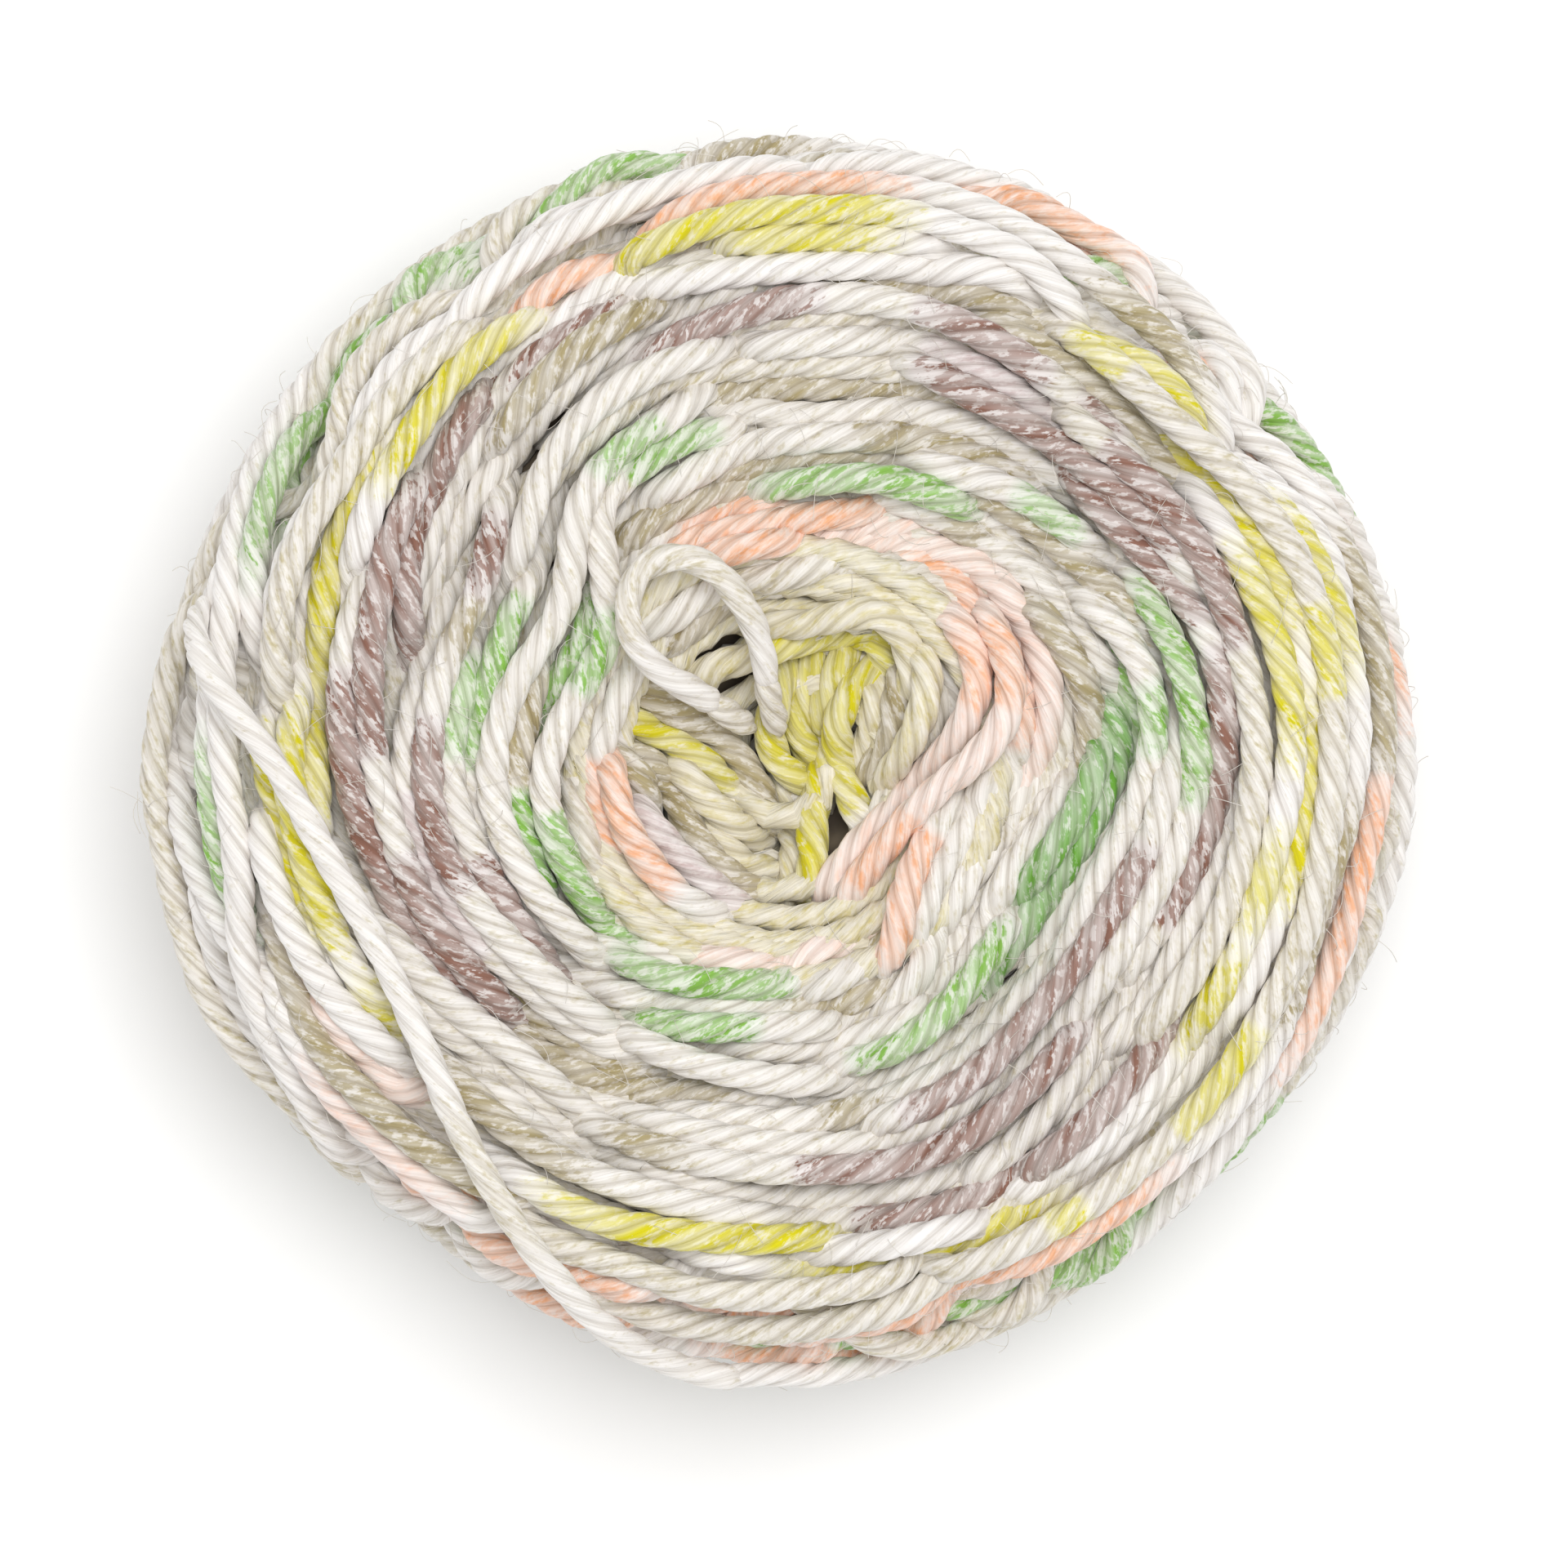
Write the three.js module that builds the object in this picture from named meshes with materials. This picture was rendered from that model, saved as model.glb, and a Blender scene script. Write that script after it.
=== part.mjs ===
// A yarn cake: plied cotton yarn wound into a flat round cake with a sunken centre.
// The outer end of the yarn lies across the top face and tucks in at the rim, and a small
// loop from the centre stands over the hollow.
// Millimetres, +Z up. The origin is the middle of the base, and the base is the plane z = 0.

import * as THREE from 'three';

const YARN_DIAMETER = 3.0;

const CAKE_RADIUS = 50; // widest, at the waist
const BASE_RADIUS = 41; // the flat spot that the cake rests on
const FACE_RADIUS = 40; // where the top face turns into the shoulder
const LOWER_WAIST = 21; // heights between which the side is upright
const UPPER_WAIST = 27;
const FACE_HEIGHT = 47;
const DISH_DEPTH = 1.5; // how far the face sinks from its rim to the hollow
const HOLLOW_RIM = 17;
const HOLLOW_FLOOR = 5;
const HOLLOW_DEPTH = 6;
const HOLLOW_SHIFT = new THREE.Vector2(-1.5, 0);
const WINDING_CENTRE = new THREE.Vector2(0, -0.8);

const COLUMNS = 72; // facets round the cake, a multiple of the ridge period
const SHOULDER_STEPS = 6;
const WAIST_STEPS = 2;
const RIDGE_PERIOD = 3; // columns from one diagonal ridge of the side to the next
const RIDGE_DEPTH = 0.8;
const TURN_PITCH = YARN_DIAMETER; // from one turn on the face to the next

// Section of one turn on the face: how far across its pitch, and how deep below its crest.
const TURN_SECTION = [
  { across: 0.2, depth: 0.8 },
  { across: 0.45, depth: 0.05 },
  { across: 0.95, depth: 0.05 },
];

// Radius of the waist by direction, because the last turns bulge unevenly.
const OUTLINE = [
  { angle: 0, radius: 49.9 },
  { angle: 35, radius: 49.3 },
  { angle: 90, radius: 49.7 },
  { angle: 135, radius: 49.4 },
  { angle: 178, radius: 49.9 },
  { angle: 208, radius: 48.8 },
  { angle: 228, radius: 47.5 },
  { angle: 262, radius: 47.5 },
  { angle: 282, radius: 48.4 },
  { angle: 312, radius: 46.9 },
  { angle: 340, radius: 48.6 },
];

// Middle of the outer end of the yarn, from its tuck under the rim turns, across the face
// and over the shoulder to where it joins the outermost turn. About the winding centre.
const OUTER_END = [
  { angle: 168, radius: 47.2, height: 44.4 },
  { angle: 171, radius: 45.6, height: 46.7 },
  { angle: 174.5, radius: 43.2, height: 48.2 },
  { angle: 179, radius: 40.4, height: 48.8 },
  { angle: 185, radius: 38.1, height: 48.7 },
  { angle: 192, radius: 36.4, height: 48.6 },
  { angle: 199, radius: 35.3, height: 48.55 },
  { angle: 206, radius: 34.9, height: 48.55 },
  { angle: 213, radius: 35.2, height: 48.55 },
  { angle: 220, radius: 36.2, height: 48.6 },
  { angle: 227, radius: 37.8, height: 48.7 },
  { angle: 234, radius: 39.8, height: 48.7 },
  { angle: 241, radius: 42.2, height: 47.95 },
  { angle: 248, radius: 44.8, height: 45.5 },
  { angle: 254, radius: 46.9, height: 41.6 },
  { angle: 260, radius: 48.1, height: 38.0 },
  { angle: 266, radius: 48.7, height: 35.8 },
];

// Middle of the loop that stands over the hollow, from one leg to the other.
const CENTRE_LOOP = [
  { x: -1.6, y: 5.0, z: 41.7 },
  { x: -1.9, y: 7.4, z: 43.6 },
  { x: -2.6, y: 9.8, z: 45.4 },
  { x: -3.8, y: 12.0, z: 46.8 },
  { x: -5.4, y: 13.9, z: 47.4 },
  { x: -7.4, y: 15.0, z: 47.5 },
  { x: -9.6, y: 15.1, z: 47.55 },
  { x: -11.5, y: 14.0, z: 47.55 },
  { x: -12.4, y: 12.0, z: 47.4 },
  { x: -12.3, y: 9.7, z: 47.4 },
  { x: -11.2, y: 7.6, z: 46.7 },
  { x: -9.4, y: 6.0, z: 45.6 },
  { x: -7.3, y: 4.8, z: 43.9 },
  { x: -5.4, y: 3.6, z: 41.9 },
];

const dyedYarn = new THREE.MeshStandardMaterial({
  name: 'dyed_yarn',
  color: 0xe6e0d0,
  roughness: 0.9,
  metalness: 0,
});

// A value between the rows of OUTLINE, easing from one row to the next.
function outlineRadius(angle) {
  const following = OUTLINE.findIndex((row) => row.angle > angle);
  const last = OUTLINE.length - 1;
  const before = following === -1 ? OUTLINE[last] : OUTLINE[following - 1];
  const after = following === -1 ? OUTLINE[0] : OUTLINE[following];
  const span = (after.angle - before.angle + 360) % 360;
  const share = THREE.MathUtils.smoothstep((angle - before.angle) / span, 0, 1);
  return THREE.MathUtils.lerp(before.radius, after.radius, share);
}

// Height of the crests of the face turns at a radius.
function faceHeight(radius) {
  const dish = 1 - THREE.MathUtils.smoothstep(radius, HOLLOW_RIM, FACE_RADIUS);
  const hollow = 1 - THREE.MathUtils.smoothstep(radius, HOLLOW_FLOOR, HOLLOW_RIM);
  return FACE_HEIGHT - DISH_DEPTH * dish - HOLLOW_DEPTH * hollow;
}

// The side from the edge of the base to the edge of the face: two quarter ellipses with
// an upright waist between them.
function sideRings() {
  const rings = [];
  for (let step = 0; step <= SHOULDER_STEPS; step += 1) {
    const turn = (step / SHOULDER_STEPS) * (Math.PI / 2);
    const radius = BASE_RADIUS + (CAKE_RADIUS - BASE_RADIUS) * Math.sin(turn);
    rings.push({ radius, height: LOWER_WAIST * (1 - Math.cos(turn)) });
  }
  for (let step = 1; step < WAIST_STEPS; step += 1) {
    const height = THREE.MathUtils.lerp(LOWER_WAIST, UPPER_WAIST, step / WAIST_STEPS);
    rings.push({ radius: CAKE_RADIUS, height });
  }
  for (let step = 0; step <= SHOULDER_STEPS; step += 1) {
    const turn = (step / SHOULDER_STEPS) * (Math.PI / 2);
    const radius = CAKE_RADIUS - (CAKE_RADIUS - FACE_RADIUS) * (1 - Math.cos(turn));
    const height = UPPER_WAIST + (FACE_HEIGHT - UPPER_WAIST) * Math.sin(turn);
    rings.push({ radius, height });
  }
  return rings.map((ring, row) => ({ ...ring, row }));
}

// The face and the hollow, from the rim inwards: each turn is a groove and a rounded crest.
function faceRings() {
  const rings = [];
  for (let turn = 0; FACE_RADIUS - (turn + 1) * TURN_PITCH > HOLLOW_FLOOR; turn += 1) {
    for (const part of TURN_SECTION) {
      const radius = FACE_RADIUS - (turn + part.across) * TURN_PITCH;
      rings.push({ radius, height: faceHeight(radius) - part.depth });
    }
  }
  return rings;
}

// How far a point of the side lies inside the contour: the diagonal wraps of the yarn.
function ridgeDepth(ring, column) {
  const onSide = ring.row > 0 && ring.height < FACE_HEIGHT;
  const inGroove = onSide && (column + COLUMNS - ring.row) % RIDGE_PERIOD === 0;
  return inGroove ? RIDGE_DEPTH : 0;
}

function ringPoint(ring, column) {
  const angle = (column / COLUMNS) * 360;
  const share = ring.radius / CAKE_RADIUS;
  const stretch = THREE.MathUtils.lerp(1, outlineRadius(angle) / CAKE_RADIUS, share * share);
  const radius = ring.radius * stretch - ridgeDepth(ring, column);
  const sunk = 1 - THREE.MathUtils.smoothstep(ring.radius, HOLLOW_FLOOR, HOLLOW_RIM);
  const shift = ring.height > UPPER_WAIST ? sunk : 0;
  const turn = THREE.MathUtils.degToRad(angle);
  return [
    WINDING_CENTRE.x + HOLLOW_SHIFT.x * shift + radius * Math.cos(turn),
    WINDING_CENTRE.y + HOLLOW_SHIFT.y * shift + radius * Math.sin(turn),
    ring.height,
  ];
}

function woundGeometry() {
  const rings = [{ radius: BASE_RADIUS / 2, height: 0 }, ...sideRings(), ...faceRings()];
  const points = [[WINDING_CENTRE.x, WINDING_CENTRE.y, 0]];
  for (const ring of rings) {
    for (let column = 0; column < COLUMNS; column += 1) {
      points.push(ringPoint(ring, column));
    }
  }
  points.push([
    WINDING_CENTRE.x + HOLLOW_SHIFT.x,
    WINDING_CENTRE.y + HOLLOW_SHIFT.y,
    faceHeight(0),
  ]);

  const at = (ring, column) => 1 + ring * COLUMNS + (column % COLUMNS);
  const top = points.length - 1;
  const lastRing = rings.length - 1;
  const faces = [];
  for (let column = 0; column < COLUMNS; column += 1) {
    faces.push(0, at(0, column + 1), at(0, column));
    for (let ring = 0; ring < lastRing; ring += 1) {
      faces.push(at(ring, column), at(ring, column + 1), at(ring + 1, column + 1));
      faces.push(at(ring, column), at(ring + 1, column + 1), at(ring + 1, column));
    }
    faces.push(at(lastRing, column), at(lastRing, column + 1), top);
  }

  const geometry = new THREE.BufferGeometry();
  geometry.setAttribute('position', new THREE.Float32BufferAttribute(points.flat(), 3));
  geometry.setIndex(faces);
  geometry.computeVertexNormals();
  return geometry;
}

// A loose stretch of yarn: an eight-sided section along a smooth route.
function yarnGeometry(points, stepLength) {
  const route = new THREE.CatmullRomCurve3(points, false, 'centripetal');
  const section = new THREE.Shape();
  const sides = 8;
  for (let side = 0; side < sides; side += 1) {
    const turn = (side / sides) * 2 * Math.PI;
    const x = (YARN_DIAMETER / 2) * Math.cos(turn);
    const y = (YARN_DIAMETER / 2) * Math.sin(turn);
    if (side === 0) {
      section.moveTo(x, y);
    } else {
      section.lineTo(x, y);
    }
  }
  section.closePath();
  return new THREE.ExtrudeGeometry(section, {
    extrudePath: route,
    steps: Math.round(route.getLength() / stepLength),
    bevelEnabled: false,
  });
}

function outerEndPoints() {
  return OUTER_END.map((row) => {
    const turn = THREE.MathUtils.degToRad(row.angle);
    return new THREE.Vector3(
      WINDING_CENTRE.x + row.radius * Math.cos(turn),
      WINDING_CENTRE.y + row.radius * Math.sin(turn),
      row.height,
    );
  });
}

function centreLoopPoints() {
  return CENTRE_LOOP.map((row) => new THREE.Vector3(row.x, row.y, row.z));
}

function named(name, geometry) {
  const mesh = new THREE.Mesh(geometry, dyedYarn);
  mesh.name = name;
  return mesh;
}

const cake = new THREE.Group();
cake.add(named('wound_body', woundGeometry()));
cake.add(named('outer_end', yarnGeometry(outerEndPoints(), 2 * YARN_DIAMETER)));
cake.add(named('centre_loop', yarnGeometry(centreLoopPoints(), YARN_DIAMETER)));

export default cake;
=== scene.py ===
# %% [markdown]
# A yarn cake is one long plied yarn, wound flat round a sunken centre. Seen closely it is all
# strands: each turn is a soft rope of four plies, it rides over some neighbours and dives under
# others, and its dyes come and go along its length. So this scene models the strands themselves.
# The cake's outer form is built here from its section, and every strand is laid on that form.

# %% Load the imported frame
import math

import bpy
import numpy as np
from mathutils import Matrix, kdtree


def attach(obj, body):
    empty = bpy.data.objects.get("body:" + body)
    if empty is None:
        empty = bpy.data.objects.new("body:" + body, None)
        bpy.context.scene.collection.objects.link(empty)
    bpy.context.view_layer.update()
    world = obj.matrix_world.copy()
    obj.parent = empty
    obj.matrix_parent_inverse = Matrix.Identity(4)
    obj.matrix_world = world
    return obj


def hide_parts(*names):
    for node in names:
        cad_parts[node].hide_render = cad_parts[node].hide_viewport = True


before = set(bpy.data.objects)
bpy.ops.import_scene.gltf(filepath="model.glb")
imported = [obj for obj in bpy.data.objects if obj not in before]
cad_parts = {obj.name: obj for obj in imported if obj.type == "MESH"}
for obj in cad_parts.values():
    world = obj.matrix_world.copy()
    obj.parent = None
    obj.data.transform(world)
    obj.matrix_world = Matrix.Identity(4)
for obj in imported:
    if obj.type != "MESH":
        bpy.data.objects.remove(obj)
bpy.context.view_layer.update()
MM = 0.001
chance = np.random.default_rng(724)

# %% [markdown]
# The camera looks straight down, as the photograph does. A long lens from almost a metre away
# keeps the rim and the face at nearly the same scale. The photograph shows about 15.5 pixels for
# each millimetre of the face, and the middle of its winding lies a little off the picture's middle.

# %% Camera straight above the cake
PICTURE_PX = 1920
PX_PER_MM = 15.5
READING_CENTRE_PX = (965, 935)
WINDING_CENTRE = np.array([0.0, -0.8])
CAMERA_HEIGHT = 945.0
SCALE_HEIGHT = 32.0
SENSOR_MM = 36.0
CLIP_END_M = 20.0


def from_picture(x_px, y_px):
    """A point of the photograph as millimetres in the part's frame."""
    x = (np.asarray(x_px, float) - READING_CENTRE_PX[0]) / PX_PER_MM + WINDING_CENTRE[0]
    y = (READING_CENTRE_PX[1] - np.asarray(y_px, float)) / PX_PER_MM + WINDING_CENTRE[1]
    return np.stack([x, y], axis=-1)


view_x, view_y = from_picture(PICTURE_PX / 2, PICTURE_PX / 2)
seen_width = PICTURE_PX / PX_PER_MM
camera_data = bpy.data.cameras.new("overhead_camera")
camera_data.sensor_width = SENSOR_MM
camera_data.lens = SENSOR_MM * (CAMERA_HEIGHT - SCALE_HEIGHT) / seen_width
camera_data.clip_end = CLIP_END_M
camera = bpy.data.objects.new("overhead_camera", camera_data)
camera.location = (view_x * MM, view_y * MM, CAMERA_HEIGHT * MM)
bpy.context.scene.collection.objects.link(camera)
bpy.context.scene.camera = camera
print(f"lens {camera_data.lens:.0f} mm, {seen_width:.1f} mm across the picture")

# %% [markdown]
# A route is a list of given points. A centripetal curve passes through all of them without loops or
# overshoot, and a second step spaces its points evenly, so that the twist of the yarn comes out the same
# everywhere.

# %% Smooth routes through chosen points
SPAN_POINTS = 10


def smooth_route(points):
    """A centripetal Catmull-Rom curve through the points."""
    points = np.asarray(points, float)
    before = 2 * points[0] - points[1]
    after = 2 * points[-1] - points[-2]
    padded = np.vstack([before, points, after])
    spans = np.sqrt(np.linalg.norm(np.diff(padded, axis=0), axis=1))
    knot = np.concatenate([[0.0], np.cumsum(spans)])
    pieces = []
    for k in range(1, len(padded) - 2):
        t0, t1, t2, t3 = knot[k - 1 : k + 3]
        p0, p1, p2, p3 = padded[k - 1 : k + 3]
        t = np.linspace(t1, t2, SPAN_POINTS, endpoint=False)[:, None]
        a1 = ((t1 - t) * p0 + (t - t0) * p1) / (t1 - t0)
        a2 = ((t2 - t) * p1 + (t - t1) * p2) / (t2 - t1)
        a3 = ((t3 - t) * p2 + (t - t2) * p3) / (t3 - t2)
        b1 = ((t2 - t) * a1 + (t - t0) * a2) / (t2 - t0)
        b2 = ((t3 - t) * a2 + (t - t1) * a3) / (t3 - t1)
        pieces.append(((t2 - t) * b1 + (t - t1) * b2) / (t2 - t1))
    pieces.append(points[-1:])
    return np.vstack(pieces)


print("a route through 4 points has", len(smooth_route(np.eye(4)[:, :3])), "points")

# %% Even steps and directions along a route
CIRCLE = 10.0


def length_along(points):
    """Distance of each point from the first, along the route."""
    steps = np.linalg.norm(np.diff(points, axis=0), axis=1)
    return np.concatenate([[0.0], np.cumsum(steps)])


def evenly(points, step, carried=None):
    """Points at even steps along the route, and the carried columns at the same places."""
    along = length_along(points)
    count = max(4, round(along[-1] / step) + 1)
    at = np.linspace(0.0, along[-1], count)
    columns = points if carried is None else carried
    return np.column_stack([np.interp(at, along, column) for column in columns.T])


def frames_along(middle, out):
    """Tangent, outward and sideways directions at each point of a route."""
    tangent = np.gradient(middle, axis=0)
    tangent /= np.linalg.norm(tangent, axis=1)[:, None]
    outward = out - tangent * np.einsum("ij,ij->i", out, tangent)[:, None]
    outward /= np.linalg.norm(outward, axis=1)[:, None]
    return tangent, outward, np.cross(tangent, outward)


quarter_turn = np.linspace(0, math.pi / 2, 7)
quarter_circle = CIRCLE * np.column_stack([np.cos(quarter_turn), np.sin(quarter_turn)])
found_length = length_along(evenly(smooth_route(quarter_circle), 0.5))[-1]
print(f"a quarter circle comes out {found_length:.2f} mm long, and is {CIRCLE * math.pi / 2:.2f} mm")

# %% [markdown]
# Two stretches of the yarn lie free: its outer end, which crosses the face, and a loop that was
# pulled up out of the hollow. Their routes are the same as in the CAD model, so that the cords
# stand for its two tubes. The outer end is given by angle, radius and height about the winding.

# %% Routes of the two loose stretches
OUTER_END = [
    (168, 47.2, 44.4), (171, 45.6, 46.7), (174.5, 43.2, 48.2), (179, 40.4, 48.8), (185, 38.1, 48.7),
    (192, 36.4, 48.6), (199, 35.3, 48.55), (206, 34.9, 48.55), (213, 35.2, 48.55),
    (220, 36.2, 48.6), (227, 37.8, 48.7), (234, 39.8, 48.7), (241, 42.2, 47.95), (248, 44.8, 45.5),
    (254, 46.9, 41.6), (260, 48.1, 38.0), (266, 48.7, 35.8),
]
CENTRE_LOOP = [
    (-1.6, 5.0, 41.7), (-1.9, 7.4, 43.6), (-2.6, 9.8, 45.4), (-3.8, 12.0, 46.8),
    (-5.4, 13.9, 47.4), (-7.4, 15.0, 47.5), (-9.6, 15.1, 47.55), (-11.5, 14.0, 47.55),
    (-12.4, 12.0, 47.4), (-12.3, 9.7, 47.4), (-11.2, 7.6, 46.7), (-9.4, 6.0, 45.6),
    (-7.3, 4.8, 43.9), (-5.4, 3.6, 41.9),
]
CORD_STEP = 0.5


def round_the_cake(places):
    """Points from rows of angle in degrees, radius and height about the winding centre."""
    angle, radius, height = np.array(places, float).T
    x = WINDING_CENTRE[0] + radius * np.cos(np.radians(angle))
    y = WINDING_CENTRE[1] + radius * np.sin(np.radians(angle))
    return np.column_stack([x, y, height])


outer_end_route = evenly(smooth_route(round_the_cake(OUTER_END[::-1])), CORD_STEP)
centre_loop_route = evenly(smooth_route(CENTRE_LOOP), CORD_STEP)
for name, route in (("outer end", outer_end_route), ("centre loop", centre_loop_route)):
    print(f"{name} is {length_along(route)[-1]:.0f} mm long")

# %% [markdown]
# The strands lie on the cake's form. Its section is a flat base, a lower quarter of an ellipse,
# an upright waist, an upper quarter and the dished face. A bed half a yarn inside that section
# carries the middle of each strand. A place on the bed is an angle round the cake and a distance
# along the section, so that one strand can run from the face over the shoulder and down the side.

# %% The cake's section
YARN = 3.0
CAKE_RADIUS = 50.0
BASE_RADIUS = 41.0
FACE_RADIUS = 40.0
LOWER_WAIST = 21.0
UPPER_WAIST = 27.0
FACE_HEIGHT = 47.0
DISH_DEPTH = 1.5
HOLLOW_RIM = 17.0
HOLLOW_FLOOR = 5.0
HOLLOW_DEPTH = 6.0
HOLLOW_SHIFT_X = -1.5
SECTION_STEP = 0.4
NEAR_AXIS = 0.01
QUARTER_POINTS = 60
BASE_POINTS = 80
FACE_POINTS = 160


def smoothstep(value, low, high):
    """Eases from 0 at the low value to 1 at the high one."""
    share = np.clip((np.asarray(value, float) - low) / (high - low), 0.0, 1.0)
    return share * share * (3 - 2 * share)


def face_height(radius):
    """Height of the crests of the face at a radius."""
    dish = 1 - smoothstep(radius, HOLLOW_RIM, FACE_RADIUS)
    hollow = 1 - smoothstep(radius, HOLLOW_FLOOR, HOLLOW_RIM)
    return FACE_HEIGHT - DISH_DEPTH * dish - HOLLOW_DEPTH * hollow


def section():
    """Radius and height of the form from the middle of the base to the middle of the face."""
    quarter = np.linspace(0, math.pi / 2, QUARTER_POINTS)[1:]
    flat = np.linspace(NEAR_AXIS, BASE_RADIUS, BASE_POINTS)
    base = np.column_stack([flat, np.zeros_like(flat)])
    lower_radius = BASE_RADIUS + (CAKE_RADIUS - BASE_RADIUS) * np.sin(quarter)
    lower = np.column_stack([lower_radius, LOWER_WAIST * (1 - np.cos(quarter))])
    upper_radius = CAKE_RADIUS - (CAKE_RADIUS - FACE_RADIUS) * (1 - np.cos(quarter))
    upper_height = UPPER_WAIST + (FACE_HEIGHT - UPPER_WAIST) * np.sin(quarter)
    waist = np.array([[CAKE_RADIUS, UPPER_WAIST]])
    upper = np.column_stack([upper_radius, upper_height])
    inward = np.linspace(FACE_RADIUS, NEAR_AXIS, FACE_POINTS)[1:]
    face = np.column_stack([inward, face_height(inward)])
    return evenly(np.vstack([base, lower, waist, upper, face]), SECTION_STEP)


form = section()
print(f"the section is {form[:, 0].max():.0f} mm in radius and {form[:, 1].max():.0f} mm high")

# %% The bed that carries the strands
LOWEST_WRAP_RADIUS = 34.0
HIGHEST_WRAP_RADIUS = 43.0

slope = np.gradient(form, axis=0)
slope /= np.linalg.norm(slope, axis=1)[:, None]
form_out = np.column_stack([slope[:, 1], -slope[:, 0]])
bed = form - form_out * YARN / 2
bed_along = length_along(bed)
widest = int(np.argmax(bed[:, 0]))
BED_END = bed_along[-1]


def upper_place(radius):
    """Where along the bed its upper half reaches a radius."""
    return np.interp(-np.asarray(radius), -bed[widest:, 0], bed_along[widest:])


SIDE_LOW = float(np.interp(LOWEST_WRAP_RADIUS, bed[:widest, 0], bed_along[:widest]))
SIDE_TOP = float(upper_place(HIGHEST_WRAP_RADIUS))
print(f"the section is {BED_END:.0f} mm long, and its side {SIDE_TOP - SIDE_LOW:.0f} mm")

# %% Places on the bed
RIM_LIMIT = 48.1
STRETCH_ROUNDS = 4
UP = np.array([0.0, 0.0, 1.0])
OUTLINE_ANGLES = [0, 35, 90, 135, 178, 208, 228, 262, 282, 312, 340, 360]
OUTLINE_RADII = [49.9, 49.3, 49.7, 49.4, 49.9, 48.8, 47.5, 47.5, 48.4, 46.9, 48.6, 49.9]


def stretch(angle, radius):
    """How much the uneven outline widens the cake at an angle in degrees and a radius."""
    outline = np.interp(np.mod(angle, 360), OUTLINE_ANGLES, OUTLINE_RADII) / CAKE_RADIUS
    share = np.square(np.asarray(radius) / CAKE_RADIUS)
    return 1 + (outline - 1) * share


def along_of(angle, radius):
    """Where on the bed's upper half a strand lies that shows at this radius from above."""
    nominal = np.asarray(radius, float)
    for _ in range(STRETCH_ROUNDS):
        nominal = radius / stretch(angle, nominal)
    return upper_place(np.minimum(nominal, RIM_LIMIT))


def hollow_distance(x, y):
    """Distance from the middle of the hollow, which lies left of the middle of the winding."""
    sunk = 1 - smoothstep(np.hypot(x, y), HOLLOW_FLOOR, HOLLOW_RIM)
    return np.hypot(x - HOLLOW_SHIFT_X * sunk, y)


def on_bed(angle, along):
    """Middle and outward direction of a strand at places on the bed."""
    radius = np.interp(along, bed_along, bed[:, 0])
    height = np.interp(along, bed_along, bed[:, 1])
    out_r = np.interp(along, bed_along, form_out[:, 0])
    out_z = np.interp(along, bed_along, form_out[:, 1])
    turn = np.radians(angle)
    radius = radius * stretch(angle, radius)
    x = radius * np.cos(turn)
    y = radius * np.sin(turn)
    on_face = (radius < FACE_RADIUS) & (out_z > 0)
    height = np.where(on_face, face_height(hollow_distance(x, y)) - YARN / 2, height)
    middle = np.column_stack([x + WINDING_CENTRE[0], y + WINDING_CENTRE[1], height])
    out = np.column_stack([out_r * np.cos(turn), out_r * np.sin(turn), out_z])
    return middle, out / np.linalg.norm(out, axis=1)[:, None]


rim_point = on_bed(np.zeros(1), along_of(0.0, np.array([RIM_LIMIT])))[0][0]
print("a strand at the right of the rim lies at", np.round(rim_point, 1).tolist(), "mm")

# %% [markdown]
# The dyes are sprinkled and dipped on the skein before it is wound. Each dye is a colour and a
# softness: peach bleeds into the cotton, while mauve and green sit in sharp little flecks. A
# dose, from 0 to 1, says how much of the yarn a dye covers at a place.

# %% Dyes


def linear(hex_colour):
    """An sRGB hex colour as linear red, green and blue."""
    parts = [int(hex_colour[k : k + 2], 16) / 255 for k in (1, 3, 5)]
    return [p / 12.92 if p <= 0.04045 else ((p + 0.055) / 1.055) ** 2.4 for p in parts]


# Each dye has its colour, the softness of its flecks' borders and its highest dose.
DYES = {
    "tan": ("#AD9F76", 0.18, 0.70),
    "haze": ("#C6BB97", 0.32, 0.50),
    "straw": ("#D3C682", 0.50, 0.62),
    "mauve": ("#8E6657", 0.12, 0.68),
    "lilac": ("#CDBAB8", 0.36, 0.60),
    "lime": ("#D8CE12", 0.28, 0.80),
    "green": ("#86B94E", 0.18, 0.64),
    "moss": ("#6DA83C", 0.20, 0.74),
    "peach": ("#F5B285", 0.40, 0.72),
    "blush": ("#F6D5C4", 0.50, 0.66),
}
DYE_CODES = {name: linear(colour) + [softness] for name, (colour, softness, _) in DYES.items()}
print(len(DYES), "dyes, tan with softness", DYES["tan"][1])

# %% Dye runs along a strand
FADE_OUT = 8.0
FADE_IN = 4.0
TRACE = {"outer": 0.12, "middle": 0.32, "inner": 0.30}
OTHER_TRACE = 0.2
ALL_ROUND = (0.0, 360.0)


def read_runs(words):
    """Turns words such as "green 333-358 5-15, haze all" into (dye, first, last) rows."""
    runs = []
    for part in words.split(","):
        name, *spans = part.split()
        for span in spans:
            low, high = ALL_ROUND if span == "all" else map(float, span.split("-"))
            runs.append((name, low, high))
    return runs


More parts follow.
